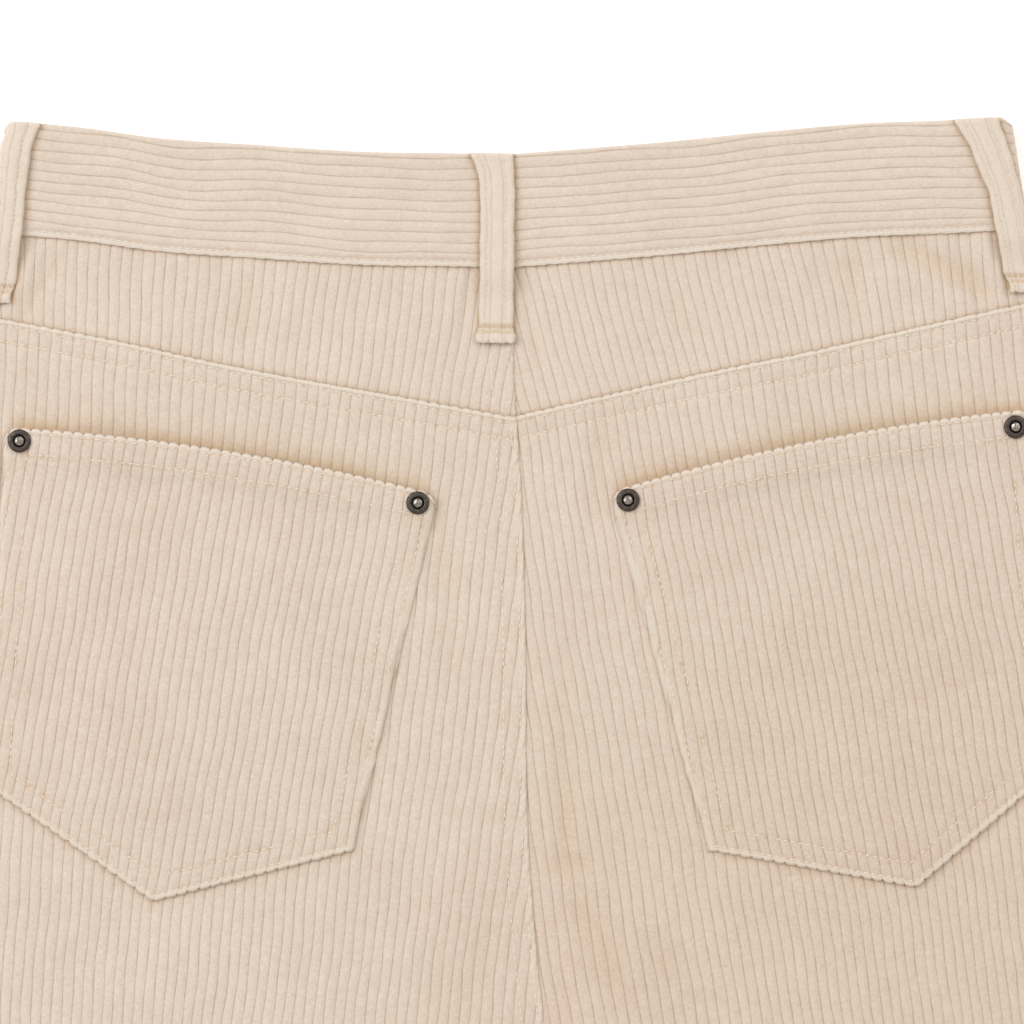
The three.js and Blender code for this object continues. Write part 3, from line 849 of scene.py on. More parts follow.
def leg_line(side, pitch):
    """x of a wale of a leg panel at the height y. It leans with the seat, then with the leg."""
    sign = SIGN[side]
    along_leg = -sign * math.tan(math.radians(LEG_LEAN))

    def line(wale, y):
        ref = sign * pitch * wale
        lean = np.tan(np.radians(lean_of[side](np.abs(ref))))
        t = np.maximum(0, (-y - LEG_START) / LEG_SPAN)
        eased = np.where(t < 1, t**3 - t**4 / 2, t - 0.5)
        lower = (y - LEAN_Y) * lean - (along_leg - lean) * LEG_SPAN * eased
        return ref + lower + waver(ref, y) + wander(wale, y)

    return line


def lapped(side, x, y):
    """Relief by the centre seam: the left edge lies over the right one."""
    off = (x - centre(y)) * SIGN[side]
    if side == "left":
        raised = 0.15 * np.exp(-np.maximum(off + LAP_OVER, 0) / 6)
        return raised + 0.6 * sewn_edge(off + LAP_OVER, SEAM_ROWS, 0.6 * beads(x, y))
    return -CENTRE_TUCK * (1 - ease(off, -1.0, 1.8)) - 0.2 * (1 - ease(off, 0, 7))


def beside_centre(side, x, y):
    """Shade on the lower edge of the centre seam."""
    if side == "left":
        return 0 * x
    return 0.6 * np.exp(-np.maximum(x - centre(y) - LAP_OVER, 0) / 0.5) * (y > CROTCH_Y)


def in_creases(x, y):
    """Shade in the hollows of the small creases."""
    return np.clip(-0.3 * folds(CREASES, x, y), 0, 0.3)


def back_surface(side, x, y):
    """Height of a back panel, with its edges' relief but not its pile."""
    creased = folds(CREASES + LEG_CREASES, x, y) * flatness(x, y) * roll(from_fork(x, y), 16)
    height = panel_top(x, y) + creased
    edge = sewn_edge(below_yoke(x, y), SEAM_ROWS, beads(x, y)) * flatness(x, y)
    in_seat = ease(y, CROTCH_Y + 4, CROTCH_Y + 30)
    hem_row = -0.35 * bump(y - hem(x), HEM_ROW, 0.7)
    return height + edge + lapped(side, x, y) * in_seat + hem_row


def make_back(side):
    sign = SIGN[side]
    lap = LAP_OVER if side == "left" else LAP_UNDER

    def inside(y):
        in_seat = ease(y, CROTCH_Y + 2, CROTCH_Y + 20)
        edge = centre(y) + sign * (apart(y) + GAP / 2)
        return edge - sign * in_seat * lap

    def top_edge(x):
        return yoke_seam(x) + LAP_OVER

    plan, top, low = leg_plan(side, top_edge, inside)
    near_seam = [0, 0.4, 0.9, 1.5, 2.1, 2.7, 3.4, 4.6, 6.2, 7.4, 8.2, 9.0, 10.2, 12.5, 15.5]
    levels = [top - d for d in near_seam]
    levels += list(np.arange(top - 19, CROTCH_Y - 25, -4.2))
    levels += list(np.arange(levels[-1] - 9, low + 36, -15.0))
    levels += [low + d for d in (29, 26.5, 25, 23.5, 22.6, 22, 21.4, 20.4, 15, 8, 3, 1, 0)]
    line = leg_line(side, LEG_PITCH)
    x, y, wale, share = follow_wales(plan, line, steps_of(*LEG_WALES), levels[::-1], sign * LEG_PITCH)
    z = back_surface(side, x, y)
    below = below_yoke(x, y)
    z = z + pile(wale) * flattened(below, SEAM_ROWS) + NAP + tufted_inside(share, 1)
    lumps = beads(x, y)
    shade = np.maximum(round_pocket(side, x, y), beside_centre(side, x, y))
    shade = np.maximum.reduce([shade, row_shade(below, SEAM_ROWS, lumps), in_creases(x, y)])
    if side == "left":
        by_seam = row_shade(left_of_seam(x, y), SEAM_ROWS, lumps) * (y > CROTCH_Y)
        shade = np.maximum(shade, 0.6 * by_seam)
    y = y + bump(below, 0, 0.8) * (0.22 * scallop(wale) + 0.16 * beads(x, y))
    worn = bump(below, 0.8, 1.3)
    if side == "left":
        worn = np.maximum(worn, bump(left_of_seam(x, y), 0.8, 1.3) * (y > CROTCH_Y))
    worn = np.maximum(worn, BACK_WEAR)
    panel(f"back_{side}", x, y, z, wale, sign < 0, worn, shade)


def make_front(side):
    sign = SIGN[side]

    def inside(y):
        return front_edge(y) + sign * (apart(y) + GAP / 2)

    def top_edge(x):
        return front_waist(x) - BAND_HEIGHT - GAP

    plan, top, low = leg_plan(side, top_edge, inside)
    levels = list(np.arange(top, CROTCH_Y - 25, -6.0))
    levels += list(np.arange(CROTCH_Y - 40, low + 20, -20.0))
    levels += [low + 12, low]
    line = leg_line(side, LEG_PITCH)
    x, y, wale, share = follow_wales(plan, line, steps_of(*LEG_WALES), levels[::-1], sign * PITCH)
    z = front_lift(x, y) + NAP - pile(wale) * ((share > 0) & (share < 1))
    panel(f"front_{side}", x, y, z, wale, sign > 0)


# The yokes


def yoke_surface(side, x, y):
    height = yoke_top(x, y) + folds(CREASES, x, y) * flatness(x, y)
    under_back = 1 - ease(y - yoke_seam(x), -0.4, 1.6)
    under_band = ease(y - band_edge(x), -1.2, 0.8)
    gather = bump(y - band_edge(x), 0, 17) * 0.22
    gather = gather * (np.sin(x / 2.6 + 0.8 * np.sin(x / 9)) + 0.7 * np.sin(x / 4.9 + 2))
    tucks = -TUCK * under_back * flatness(x, y) - 0.25 * under_band * flatness(x, y)
    return height + tucks + gather * flatness(x, y) + lapped(side, x, y)


def make_yoke(side):
    sign = SIGN[side]
    lap = LAP_OVER if side == "left" else LAP_UNDER

    def plan(share, level):
        y = np.full(np.broadcast(share, level).shape, -70.0)
        for _ in range(6):
            x = lerp(centre(y) - sign * lap, sign * outline(sign, y), share)
            y = lerp(yoke_seam(x) - LAP_UNDER, band_edge(x) + LAP_UNDER, level)
        return x, y

    def line(wale, y):
        ref = sign * PITCH * wale
        lean = np.tan(np.radians(yoke_lean_of[side](np.abs(ref))))
        return ref + (y - YOKE_LEAN_Y) * lean + waver(ref * 1.3, y) + wander(wale, y)

    levels = np.concatenate([[0, 0.035, 0.06, 0.075, 0.09, 0.105], np.linspace(0.13, 0.86, 22)])
    levels = np.concatenate([levels, [0.885, 0.905, 0.92, 0.935, 0.95, 1]])
    x, y, wale, share = follow_wales(plan, line, steps_of(-6, 55), levels, sign * PITCH)
    z = yoke_surface(side, x, y)
    z = z + pile(wale) + NAP + tufted_inside(share, 2)
    above_back = np.maximum(y - yoke_seam(x) - LAP_OVER, 0)
    below_band = np.maximum(band_edge(x) - y, 0)
    shade = np.maximum(0.6 * np.exp(-above_back / 0.9), 0.5 * np.exp(-below_band / 0.7))
    shade = np.maximum.reduce([shade, beside_loops(x, y), beside_centre(side, x, y), in_creases(x, y)])
    panel(f"yoke_{side}", x, y, z, wale, sign < 0, YOKE_WEAR, shade)


# The pockets


def mouth_y(side, share):
    """Height of a pocket's mouth on the plan, bowed up between its rounded corners."""
    (ax, ay), (bx, by) = POCKETS[side]["top_inner"], POCKETS[side]["top_outer"]
    from_side = np.minimum(share, 1 - share) * abs(bx - ax)
    bow = POCKETS[side]["bow"] * 4 * share * (1 - share)
    corner = 0.8 * POCKET_CORNER * (1 - roll(from_side, POCKET_CORNER))
    return lerp(ay, by, share) + bow - corner


def pocket_plan(side, share, level):
    """Plan of a pocket: share 0 on its inner side and 1 on its outer, level 0 below and 1 at the mouth."""
    pocket = POCKETS[side]
    (tx, ty), (ix, iy), (ox, oy) = pocket["tip"], pocket["low_inner"], pocket["low_outer"]
    split = (tx - ix) / (ox - ix)
    low_x = lerp(ix, ox, share)
    before = lerp(iy, ty, share / split)
    after = lerp(ty, oy, (share - split) / (1 - split))
    low_y = np.where(share < split, before, after)
    high_x = lerp(pocket["top_inner"][0], pocket["top_outer"][0], share)
    return lerp(low_x, high_x, level), lerp(low_y, mouth_y(side, share), level)


def pocket_sides(side):
    """The sewn edges of a pocket, from its inner top corner round: corner, direction, inward normal."""
    keys = ("top_inner", "low_inner", "tip", "low_outer", "top_outer")
    corners = np.array([POCKETS[side][key] for key in keys], float)
    middle = corners.mean(axis=0)
    edges = []
    for a, b in zip(corners, corners[1:]):
        along = (b - a) / np.linalg.norm(b - a)
        inward = np.array([-along[1], along[0]])
        inward = inward * np.sign(np.dot(middle - a, inward))
        edges.append((a, along, inward))
    return edges


def pocket_edges(side, x, y):
    """Distances inwards from a pocket's sewn sides and from its mouth."""
    sewn = np.full(np.shape(x), 1000.0)
    for corner, _, inward in pocket_sides(side):
        sewn = np.minimum(sewn, (x - corner[0]) * inward[0] + (y - corner[1]) * inward[1])
    (ax, ay), (bx, by) = POCKETS[side]["top_inner"], POCKETS[side]["top_outer"]
    share = np.clip((x - ax) / (bx - ax), 0, 1)
    upright = abs(bx - ax) / math.hypot(bx - ax, by - ay)
    return sewn, (mouth_y(side, share) - y) * upright


def round_pocket(side, x, y):
    """Shade on the cloth round a pocket: a line along its sides, and wider above its gaping mouth."""
    sewn, below = pocket_edges(side, x, y)
    beside = 0.55 * np.exp(-np.maximum(-sewn, 0) / 0.7) * (below > -2)
    above = np.exp(-np.maximum(-below, 0) / 3.2) * ease(sewn, -2, 6)
    return np.maximum(beside, above)


def pocket_surface(side, x, y):
    sewn, below = pocket_edges(side, x, y)
    sewn, below = np.maximum(sewn, 0), np.maximum(below, 0)
    height = panel_top(x, y) + folds(CREASES, x, y) + CLOTH + 0.1
    height = height + 0.35 * ease(sewn, 4, 40) * ease(below, 0, 60) - 0.6 * np.exp(-sewn / 1.6)
    lumps = beads(x, y)
    height = height + sewn_edge(sewn, POCKET_ROWS, lumps) + sewn_edge(below, MOUTH_ROWS, 0.5 * lumps)
    mouth = MOUTH_RISE * (1 - ease(below, MOUTH_HEM - 1, MOUTH_HEM + 2))
    gape = 1.5 * ease(sewn, 0, 35) * bump(below, 0, 13)
    return height + mouth + gape


def make_pocket(side):
    sign = SIGN[side]
    lean = math.tan(math.radians(POCKET_LEAN[side]))
    middle = POCKETS[side]["tip"][0]

    def plan(share, level):
        return pocket_plan(side, share, level)

    def line(wale, y):
        ref = middle + sign * PITCH * wale
        return ref + (y - POCKET_LEAN_Y) * lean + waver(ref * 0.7 + 90, y) + wander(wale, y)

    near_edge = np.array([0, 0.5, 1.1, 1.7, 2.3, 3.0, 4.2, 6.4, 7.6, 8.4, 9.2, 10.4, 12.5])
    near_edge = near_edge / POCKET_HEIGHT
    levels = [near_edge, np.linspace(17, 131, 28) / POCKET_HEIGHT, 1 - near_edge[::-1]]
    levels = np.concatenate(levels)
    x, y, wale, share = follow_wales(plan, line, steps_of(-26, 26), levels, sign * PITCH)
    z = pocket_surface(side, x, y)
    sewn, below = pocket_edges(side, x, y)
    left = flattened(sewn, POCKET_ROWS) * flattened(below, MOUTH_ROWS)
    z = z + pile(wale) * left + NAP + tufted_inside(share, 3)
    out_x, out_y = x - middle, y - POCKET_LEAN_Y
    swell = 0.2 * beads(x, y) + 0.55 * scallop(wale)
    swell = swell * bump(sewn, 0, 0.8) / np.hypot(out_x, out_y)
    x, y = x + swell * out_x, y + swell * out_y + 0.9 * bump(below, 0, 0.7) * scallop(wale)
    worn = np.maximum(bump(sewn, 0.8, 1.2), bump(below, 0.8, 1.2))
    lumps = beads(x, y)
    shade = np.maximum(row_shade(sewn, POCKET_ROWS, lumps), row_shade(below, MOUTH_ROWS, lumps))
    panel(f"pocket_{side}", x, y, z, wale, sign < 0, worn, shade)


# The waistband


def band_point(side, u, up, depth):
    """A point of the waistband: u is 0 to 1 on the back from the centre, to 2 round the fold at the
    side and to 3 on the front. up is millimetres above its lower edge, and depth is inwards."""
    sign = SIGN[side]
    r = BAND_TOP / 2
    down = BAND_HEIGHT - up
    extreme = outline(sign, waist(sign * SIDE_X) - down)
    end = float(front_edge(0)) + sign * GAP / 2
    share = np.clip(u, 0, 1)
    x_back = lerp(centre(-down) + sign * GAP / 2, sign * (extreme - r), share)
    turn = np.clip(u - 1, 0, 1) * np.pi
    arc = r - depth
    x_fold = sign * (extreme - r + arc * np.sin(turn))
    y_fold = waist(sign * SIDE_X) - down - BAND_CORNER * (up / BAND_HEIGHT) ** 8 * np.sin(turn)
    x_front = lerp(sign * (extreme - r), end, np.clip(u - 2, 0, 1))
    y_front = front_waist(x_front) - down
    x = np.where(u <= 1, x_back, np.where(u <= 2, x_fold, x_front))
    y = np.where(u <= 1, waist(x_back) - down, np.where(u <= 2, y_fold, y_front))
    z_front = front_lift(x_front, y_front) + depth
    z = np.where(u <= 1, BAND_TOP - depth, np.where(u <= 2, r + arc * np.cos(turn), z_front))
    return x, y, z


def band_drift(x, up):
    """How far the band's wales lie off their even places."""
    wave = 0.55 * np.sin(x / 17 + 0.5) + 0.35 * np.sin(x / 7.4 + up / 14) + 0.3 * np.sin(x / 31 - up / 9)
    sway = -1.1 * bump(x, -112, 22) + 0.9 * bump(x, -140, 16) - 0.6 * bump(x, 134, 14)
    return 0.8 * wave + sway * np.sin(np.pi * up / BAND_HEIGHT)


def band_surface(side, u, up, depth):
    """The waistband with its edges' relief and buckles."""
    x, y, z = band_point(side, u, up, depth)
    on_back = 1 - ease(u, 0.96, 1.0)
    edge = sewn_edge(up + BAND_LIP, BAND_ROWS, beads(x, up)) + 0.15 * bump(up, BAND_HEIGHT - 2.5, 2)
    edge = edge - 1.25 * np.exp(-up / 2.4)
    outer = 1 - ease(depth, 0, 0.4)
    return x, y, z + (folds(BUCKLES, x, y) + edge) * on_back * outer


def band_section():
    """Rows round the waistband's wall from its lower edge: height or wale, and depth inwards."""
    rows = [(0.0, None, 1.6), (0.0, None, 0.9), (0.15, None, 0.4), (0.45, None, 0.12)]
    rows += [(up, None, 0.0) for up in (0.8, 1.1, 1.5, 1.9, 2.3, 2.7, 3.1)]
    rows += [(None, wale, 0.0) for wale in steps_of(-1, 10)[2:-2]]
    top = BAND_HEIGHT
    rows += [(top - 0.9, None, 0.1), (top - 0.4, None, 0.35), (top - 0.08, None, 0.85), (top, None, 1.4)]
    rows += [(top - 0.3, None, 2.2), (top - 1.2, None, BAND_WALL), (top / 2, None, BAND_WALL)]
    return rows + [(0.9, None, BAND_WALL), (0.2, None, 2.4), (0.0, None, 1.6)]


def make_band(side):
    sign = SIGN[side]
    on_back = [0, 0.004] + list(np.linspace(0.012, 0.975, 90)) + [0.985, 0.993]
    u = np.array(on_back + list(1 + np.linspace(0, 1, 13)) + list(2 + np.linspace(0.02, 1, 34)))
    along = band_point(side, u, np.full(u.shape, 20.0), 0)[0]
    turn = np.clip(u - 1, 0, 1) * np.pi
    out = np.stack([sign * np.sin(turn), 0 * turn, np.cos(turn)], axis=-1)
    grids = [[], [], [], []]
    for up, wale, depth in band_section():
        if wale is None:
            up = up - 0.16 * beads(along, 0) * bump(up, 0, 1.2)
            wale = (up - BAND_GROOVE) / BAND_PITCH
            relief = (0.5 * NAP * np.cos(turn) + tufted(u.shape, int(10 * up[0]))) * (depth == 0)
        else:
            place = BAND_GROOVE + BAND_PITCH * wale + wander(wale, along)
            place = place + band_drift(along, BAND_PITCH * wale)
            up = np.clip(place, 3.5 + 0.35 * (wale + 1), BAND_HEIGHT - 1.0 - 0.3 * (9.5 - wale))
            wale = wale + (up - place) / BAND_PITCH
            relief = pile(wale) * flattened(up + BAND_LIP, BAND_ROWS) + NAP * np.cos(turn)
            relief = relief + tufted(u.shape, 50 + int(10 * up[0]))
        x, y, z = band_surface(side, u, up, depth)
        shade = 0.55 * row_shade(up, BAND_SHADE, beads(x, up)) * (up < BAND_SHADE_TOP)
        shade = np.maximum(beside_loops(x, y), shade) * (u < 1.5) * (depth < 0.5)
        grids[0].append(to_frame(x, y, z) + out * relief[:, None] * MM)
        grids[1].append(np.stack([wale + 0 * u, along * UV_ALONG], axis=-1))
        grids[2].append(np.maximum(bump(up, 0.8, 1.3), BAND_WEAR) + 0 * u)
        grids[3].append(shade)
    grids = [np.stack(grid, axis=1) for grid in grids]
    piece = cloth_piece(f"waistband_{side}", *grids, sign < 0, closed=True)


# The belt loops


def loop_curves(name):
    return curve(LOOPS[name], "drop", "inner"), curve(LOOPS[name], "drop", "outer")


def loop_point(name, across, drop):
    """Centre of a back loop's outer face: across is 0 on its inner edge and 1 on its outer."""
    inner, outer = loop_curves(name)
    place = lerp(inner(drop), outer(drop), across)
    sign = SIGN.get(name, 0)
    x = place
    for _ in range(4):
        y = waist(x) - drop
        if sign:
            x = sign * (outline(sign, y) - place)
    on_yoke = ease(drop, BAND_HEIGHT + 1, BAND_HEIGHT + 13)
    slack = 0.1 + 0.4 * np.sin(np.pi * np.clip(drop / LOOP_LENGTH, 0, 1))
    base = lerp(band_top(x, y), yoke_top(x, y), on_yoke)
    return x, y, base + GAP + CLOTH + slack


def beside_loops(x, y):
    """Shade on the cloth beside the back's belt loops."""
    total = 0 * x
    drop = waist(x) - y
    for name, rows in LOOPS.items():
        inner, outer = loop_curves(name)
        sign = SIGN.get(name, 0)
        place = outline(sign, y) - sign * x if sign else x
        low, high = np.minimum(inner(drop), outer(drop)), np.maximum(inner(drop), outer(drop))
        beyond = np.maximum(np.maximum(low - place, place - high), 0)
        total = np.maximum(total, 0.95 * np.exp(-beyond / 0.75) * (drop < rows["drop"][-1] + 0.5))
    return total


def loop_surface(name, across, drop):
    """A back loop's outer face. Its top is sewn flat over the waistband's top edge."""
    end = LOOPS[name]["drop"][-1]
    x, y, z = loop_point(name, across, np.maximum(drop, LOOP_FOLD))
    turn = np.clip((LOOP_FOLD - drop) / LOOP_FOLD, 0, 1) * np.pi / 2
    y = y + (LOOP_FOLD + LOOP_HOOK) * np.sin(turn)
    z = z - (CLOTH + GAP) * (1 - np.cos(turn)) * 1.3
    foot = bump(drop, end - 1.6, 2.2)
    x = x - (across - 0.5) * 2.2 * foot * SIGN.get(name, 1)
    z = z + 0.5 * foot
    if name in SIGN:
        from_outer = (1 - across) * LOOP_WIDTH
        corner = LOOPS[name]["corner"]
        y = y - corner * (1 - roll(from_outer, corner)) * (1 - ease(drop, 0, 8))
    return x, y, z


def make_loop(name):
    end = LOOPS[name]["drop"][-1]
    drops = np.concatenate([[0, 0.3, 0.6, 0.9, 1.2, 1.8], np.linspace(3, end - 8, 44)])
    near_foot = np.array([7, 6.2, 5.6, 5, 4.4, 3.8, 3.2, 2.4, 1.6, 0.9, 0.4, 0])
    drops = np.concatenate([drops, end - near_foot])
    face = [0, 0.02, 0.05, 0.09, 0.13, 0.16, 0.2, 0.225, 0.25, 0.28, 0.32, 0.36, 0.43, 0.5]
    face = np.array(face + [1 - a for a in face[-2::-1]])
    lip = 0.9 * (1 - roll(np.minimum(face, 1 - face), 0.1))
    rows = list(zip(face, lip))
    rows += [(1.0, 1.1), (0.97, 1.4), (0.85, CLOTH), (0.5, CLOTH), (0.15, CLOTH), (0.03, 1.4), (0, 1.1)]
    rows += [rows[0]]
    at_stitch = sum(bump(face, row, 0.035) for row in LOOPS[name]["rows"])
    tack = bump(drops, end - TACK_DENTS[0], 0.6) + 0.8 * bump(drops, end - TACK_DENTS[1], 0.5)
    rough = tufted((len(rows), len(drops)), len(name), 0.045)
    rough[len(face) :] = 0
    rough[0] = 0
    thin = lerp(0.55, 1.0, ease(drops, 0.3, 2.4))
    where, uv, shade = [], [], []
    for n, (across, depth) in enumerate(rows):
        sway = 0.009 * np.sin(drops / 3.3 + 4 * across) + 0.008 * np.sin(drops / 1.3 + 9 * across)
        x, y, z = loop_surface(name, across + sway, drops)
        on_face = n < len(face)
        dent = 0.28 * at_stitch[n] + 0.95 * tack if on_face else 0
        z = z - depth * thin - dent + 0.16 * on_face * np.sin(np.pi * across)
        y = y - 0.8 * bump(drops, end, 1.1) * np.abs(np.sin(across * 13 + 0.4))
        wale = (across - 0.33) * 3.0
        z = z + rough[n] + (float(pile(wale, 0.2)) + 0.05) * on_face * (1 - bump(across, 0, 0.04))
        where.append(to_frame(x, y, z))
        uv.append(np.stack([np.full(drops.shape, wale), drops * UV_ALONG], axis=-1))
        # Painted shade in the dents of the stitch rows, and deeper painted shade on the bar tack
        tack_and_row_shade = np.maximum(0.5 * at_stitch[n], 1.6 * np.minimum(tack, 1)) if on_face else 0 * drops
        shade.append(tack_and_row_shade * (0.8 + 0.25 * np.sin(drops * 2.4 + across * 31)))
    where, uv, shade = np.stack(where), np.stack(uv), np.stack(shade)
    flip = SIGN.get(name, -1) > 0
    piece = cloth_piece(f"loop_{name}", where, uv, LOOP_WEAR, shade, flip, closed=True)


def make_front_loop(side):
    x0 = SIGN[side] * FRONT_LOOP_X
    low = float(front_waist(x0)) - LOOP_LENGTH
    across = np.array([-6, -5.2, -4.4, -2, 0, 2, 4.4, 5.2, 6])
    up = np.array([0, 1, 4, 5, 6, 20, 40, 60, 66, LOOP_LENGTH])
    x, y = np.meshgrid(x0 + across, low + up, indexing="ij")
    z = 0.15 + 0.1 * bump(np.abs(x - x0), 6, 0.6)
    uv = np.stack([(x - x0) / PITCH + 0.5, y * UV_ALONG], axis=-1)
    piece = cloth_piece(f"loop_front_{side}", to_frame(x, y, z), uv, LOOP_WEAR, 0.0, True)
    add_wall(piece, FRONT_STRAP - 0.2)


def make_fly():
    top = float(front_waist(0)) - BAND_HEIGHT - 3
    up = np.linspace(FLY_END_Y + 4, top, 30)
    offset, y = np.meshgrid(np.linspace(*FLY_ACROSS, 12), up, indexing="ij")
    x = front_edge(y) + offset
    z = front_lift(x, y) + CLOTH + 2 * GAP + FRONT_STRAP
    panel("fly", x, y, z, offset / PITCH, thickness=FRONT_STRAP - 0.1)


# Sewing


def along_path(points, step):
    """Evenly spaced places along a line of points, each with its direction."""
    points = np.asarray(points)
    lengths = np.concatenate([[0], np.cumsum(np.linalg.norm(np.diff(points, axis=0), axis=1))])
    count = max(1, int(lengths[-1] / step))
    at = (np.arange(count) + 0.5) * lengths[-1] / count
    ahead = np.minimum(at + step / 3, lengths[-1])
    behind = np.maximum(at - step / 3, 0)

    def place(distance):
        return np.stack([np.interp(distance, lengths, points[:, k]) for k in range(3)], axis=-1)

    return place(at), place(ahead) - place(behind)


def add_stitch(bm, place, along, half, thick):
    along = Vector(along).normalized()
    up = Vector((0, 0, 1))
    side = up.cross(along).normalized()
    up = along.cross(side)
    turn = Matrix((along, side, up)).transposed().to_4x4()
    size = Matrix.Diagonal((half, thick, thick * 0.8, 1))
    turned = Matrix.Rotation(math.pi / 2, 4, "Y")
    matrix = Matrix.Translation(Vector(place)) @ turn @ size @ turned
    bmesh.ops.create_uvsphere(bm, u_segments=6, v_segments=5, radius=1, matrix=matrix)


def sew(name, lines, step=STITCH, thick=THREAD, sunk=SUNK):
    """Rows of stitches, as one piece, sunk unevenly. Each line is an array of points in the frame."""
    bm = bmesh.new()
    rng = np.random.default_rng(len(name) * 7 + len(lines))
    for points in lines:
        places, directions = along_path(points, step * MM)
        for place, direction in zip(places, directions):
            half = step * MM * (0.27 + 0.12 * rng.random())
            drift = Vector((0, 0, -sunk * MM * rng.random()))
            add_stitch(bm, Vector(place) + drift, direction, half, thick * MM)
    new_piece(name, bm_mesh(name, bm), [thread])


def yoke_rows(side):
    sign = SIGN[side]
    lines = []
    for row in SEAM_ROWS:
        x = np.linspace(centre(-95) + sign * 1.5, sign * 205, 160)
        y = yoke_seam(x) + LAP_OVER - row
        keep = np.abs(x) < outline(sign, y) - 4
        x, y = x[keep], y[keep]
        lines.append(to_frame(x, y, back_surface(side, x, y) + ON_CLOTH))
    return lines


def centre_rows():
    lines = []
    for row in SEAM_ROWS:
        y = np.linspace(-97, CROTCH_Y + 12, 150)
        x = centre(y) + LAP_OVER - row
        lines.append(to_frame(x, y, back_surface("left", x, y) + ON_CLOTH))
        y = np.linspace(-90, -60, 30)
        x = centre(y) + LAP_OVER - row
        lines.append(to_frame(x, y, yoke_surface("left", x, y) + ON_CLOTH))
    return lines


def pocket_rows(side):
    lines = []
    for row, mouth_row in zip(POCKET_ROWS, MOUTH_ROWS):
        edges = pocket_sides(side)
        starts = [corner + inward * row for corner, _, inward in edges]
        turns = [starts[0] + edges[0][1] * mouth_row]
        for (_, along, _), (_, next_along, _), start, next_start in zip(edges, edges[1:], starts, starts[1:]):
            sides = np.stack([along, -next_along], axis=1)
            turns.append(start + along * np.linalg.solve(sides, next_start - start)[0])
        turns.append(np.array(POCKETS[side]["top_outer"]) + edges[-1][2] * row - edges[-1][1] * mouth_row)
        places = [lerp(a, b, np.linspace(0, 1, 60)[:, None]) for a, b in zip(turns, turns[1:])]
        x, y = np.concatenate(places).T
        lines.append(to_frame(x, y, pocket_surface(side, x, y) + ON_CLOTH))
        share = np.linspace(row / 150, 1 - row / 150, 120)
        x = lerp(POCKETS[side]["top_inner"][0], POCKETS[side]["top_outer"][0], share)
        y = mouth_y(side, share) - mouth_row
        lines.append(to_frame(x, y, pocket_surface(side, x, y) + ON_CLOTH))
    return lines


def band_rows(side, u, height):
    x, y, z = band_surface(side, u, np.full(u.shape, BAND_STITCHES), 0.0)
    return [to_frame(x, y, z + height)]


def loop_rows(name):
    end = LOOPS[name]["drop"][-1]
    lines = []
    for across in LOOPS[name]["rows"]:
        drops = np.linspace(1.4, end - 6, 60)
        x, y, z = loop_surface(name, across, drops)
        lines.append(to_frame(x, y, z + 0.02))
    return lines


def loop_tacks(name):
    """A bar tack across the foot of a loop: two dense zigzag rows."""
    end = LOOPS[name]["drop"][-1]
    lines = []
    count = 26
    for row in TACK_ROWS:
        across = np.linspace(0.04, 0.96, count)
        drops = end - row + 0.4 * np.where(np.arange(count) % 2, 1, -1)
        x, y, z = loop_surface(name, across, drops)
        lines.append(to_frame(x, y, z - 0.5))
    return lines


def hem_rows(side):
    x = SIGN[side] * np.linspace(108, 297, 90)
    y = hem(x) + HEM_ROW
    return [to_frame(x, y, back_surface(side, x, y) + ON_CLOTH)]


def fly_rows():
    """The curved double row that holds the fly, seen on the front."""
    lines = []
    straight = np.linspace(FLY_ROW_TOP, FLY_ROW_BEND, 60)
    turn = np.linspace(0, np.pi / 2, 40)
    for row in FLY_ROWS:
        y = np.concatenate([straight, FLY_ROW_BEND - (row + 8) * np.sin(turn)])
        off = np.concatenate([np.zeros(straight.shape), (row - 2) * (np.cos(turn) - 1)])
        x = off + front_edge(y) + row
        lines.append(to_frame(x, y, front_lift(x, y) + UNDER_CLOTH))
    return lines


def front_hem_rows(side):
    x = SIGN[side] * np.linspace(110, 296, 90)
    y = hem(x) + HEM_ROW
    return [to_frame(x, y, front_lift(x, y) + UNDER_CLOTH)]


def make_sewing():
    on_back, on_front = np.linspace(0.01, 0.985, 160), np.linspace(2.03, 2.97, 120)
    for side in SIGN:
        sew(f"yoke_seam_stitches_{side}", yoke_rows(side))
        sew(f"pocket_stitches_{side}", pocket_rows(side))
        sew(f"waistband_stitches_{side}", band_rows(side, on_back, NAP))
        sew(f"hem_stitches_{side}", hem_rows(side))
        front = band_rows(side, on_front, UNDER_CLOTH) + front_hem_rows(side)
        sew(f"front_stitches_{side}", front, sunk=0)
    sew("centre_seam_stitches", centre_rows())
    sew("fly_stitches", fly_rows(), sunk=0)
    for name in LOOPS:
        sew(f"loop_stitches_{name}", loop_rows(name), step=LOOP_STITCH, thick=FINE_THREAD)
        sew(f"loop_tack_{name}", loop_tacks(name), step=TACK_STITCH, thick=FINE_THREAD)


# Rivets and the button


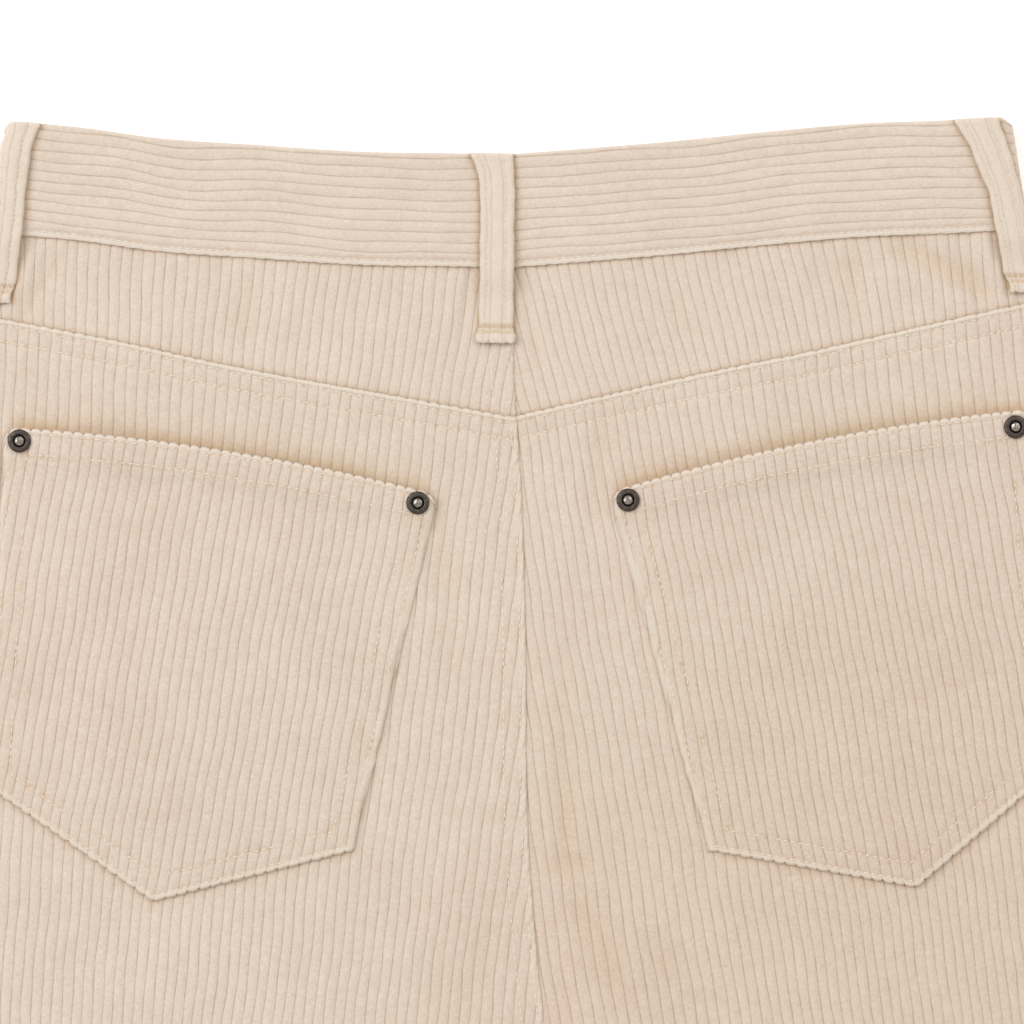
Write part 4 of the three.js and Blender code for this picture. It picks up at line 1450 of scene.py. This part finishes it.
def turned_piece(name, node, parts):
    """A turned metal piece on a node's place: profiles of radius and height, each with its finish."""
    low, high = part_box(node)
    middle = (Vector(low) + Vector(high)) / 2
    bm = bmesh.new()
    finishes = []
    for finish, profile in parts:
        verts = [bm.verts.new((r * MM, 0, z * MM)) for r, z in profile]
        edges = [bm.edges.new(pair) for pair in zip(verts, verts[1:])]
        bmesh.ops.spin(
            bm,
            geom=verts + edges,
            axis=(0, 0, 1),
            cent=(0, 0, 0),
            steps=48,
            angle=2 * math.pi,
            use_merge=True,
        )
        faces = [f for f in bm.faces if not f.tag]
        for face in faces:
            face.tag = True
            face.material_index = len(finishes)
        finishes.append(finish)
    bmesh.ops.remove_doubles(bm, verts=bm.verts, dist=0.01 * MM)
    bmesh.ops.recalc_face_normals(bm, faces=bm.faces)
    bmesh.ops.translate(bm, verts=bm.verts, vec=(middle.x, middle.y, low[2]))
    new_piece(name, bm_mesh(name, bm), finishes, node)


def make_rivets():
    washer = [(0, 0), (4.0, 0), (4.15, 0.25), (4.05, 0.6), (3.7, 0.86), (3.2, 0.97), (2.7, 0.98)]
    washer += [(2.35, 0.9)]
    ring = [(2.35, 0.9), (2.2, 0.7), (2.1, 0.45), (1.85, 0.42), (1.75, 0.5)]
    nipple = [(1.75, 0.5), (1.72, 0.9), (1.55, 1.15), (1.2, 1.38), (0.8, 1.5), (0.4, 1.55), (0, 1.56)]
    parts = [(gunmetal, washer), (black_metal, ring), (bright_metal, nipple)]
    for side in SIGN:
        for place in ("inner", "outer"):
            node = f"rivet_{side}_{place}"
            turned_piece(f"{node}_metal", node, parts)


def make_button():
    r, t = BUTTON["radius"], BUTTON["thickness"]
    back = [(0, t), (r - 0.8, t), (r - 0.15, t - 0.2), (r, t - 0.5), (r, 0.6), (r - 0.2, 0.25)]
    rim = [(r - 0.2, 0.25), (r - 0.6, 0.05), (r - 1.2, 0), (r - 2.2, 0.02), (r - 2.8, 0.2), (r - 3.2, 0.45)]
    middle = [(r - 3.2, 0.45), (r - 4.2, 0.5), (2.4, 0.5), (1.6, 0.4), (0.8, 0.35), (0, 0.33)]
    turned_piece("button_metal", "button", [(gunmetal, back), (gunmetal, rim), (black_metal, middle)])


# The studio


def make_camera():
    """Straight down on the back, as wide as the photograph's frame."""
    pixels_per_mm = 2.8
    waist_row = 154
    middle = 512
    wide = 2 * middle / pixels_per_mm * MM
    distance = 2.4
    sensor = 36
    camera = bpy.data.cameras.new("camera")
    camera.sensor_width = sensor
    camera.lens = sensor * distance / wide
    camera.clip_start = 0.1
    camera.clip_end = 20
    rig = new_object("camera", camera)
    look_y = (PLAN_Y - (middle - waist_row) / pixels_per_mm) * MM
    rig.location = (0, look_y, distance + SEAT_TOP * MM)
    bpy.context.scene.camera = rig


def make_floor():
    bm = bmesh.new()
    bmesh.ops.create_grid(bm, x_segments=1, y_segments=1, size=6)
    floor = new_object("floor", bm_mesh("floor", bm))
    white = (0.93, 0.93, 0.93, 1)
    material, _, _ = shader("floor", 0.9, Base_Color=white, Emission_Color=white, Emission_Strength=0.3)
    floor.data.materials.append(material)


def make_lights():
    """An even, soft light: a warm surround and large, cooler lamps, the strongest on the left."""
    world = bpy.data.worlds.new("studio")
    bpy.context.scene.world = world
    world.use_nodes = True
    background = world.node_tree.nodes["Background"]
    background.inputs["Color"].default_value = (1.0, 0.93, 0.84, 1)
    background.inputs["Strength"].default_value = 0.62
    for name, place, size, power in (
        ("soft_left", (-2.2, 1.4, 2.2), 2.2, 56),
        ("soft_right", (2.0, 1.8, 2.2), 2.2, 27),
        ("soft_foot", (0.3, -2.2, 2.0), 2.4, 5),
    ):
        light = bpy.data.lights.new(name, "AREA")
        light.shape = "DISK"
        light.size = size
        light.energy = power
        light.color = (0.93, 0.97, 1.0)
        lamp = new_object(name, light)
        lamp.location = place
        aim = Vector((0, 0.35, 0)) - Vector(place)
        lamp.rotation_euler = aim.to_track_quat("-Z", "Y").to_euler()


bpy.context.scene.view_settings.view_transform = "Standard"
make_camera()
make_floor()
make_lights()
for side in SIGN:
    make_front(side)
make_fly()
for side in SIGN:
    make_back(side)
    make_yoke(side)
    make_pocket(side)
    make_band(side)
    make_front_loop(side)
for name in LOOPS:
    make_loop(name)
make_sewing()
make_rivets()
make_button()
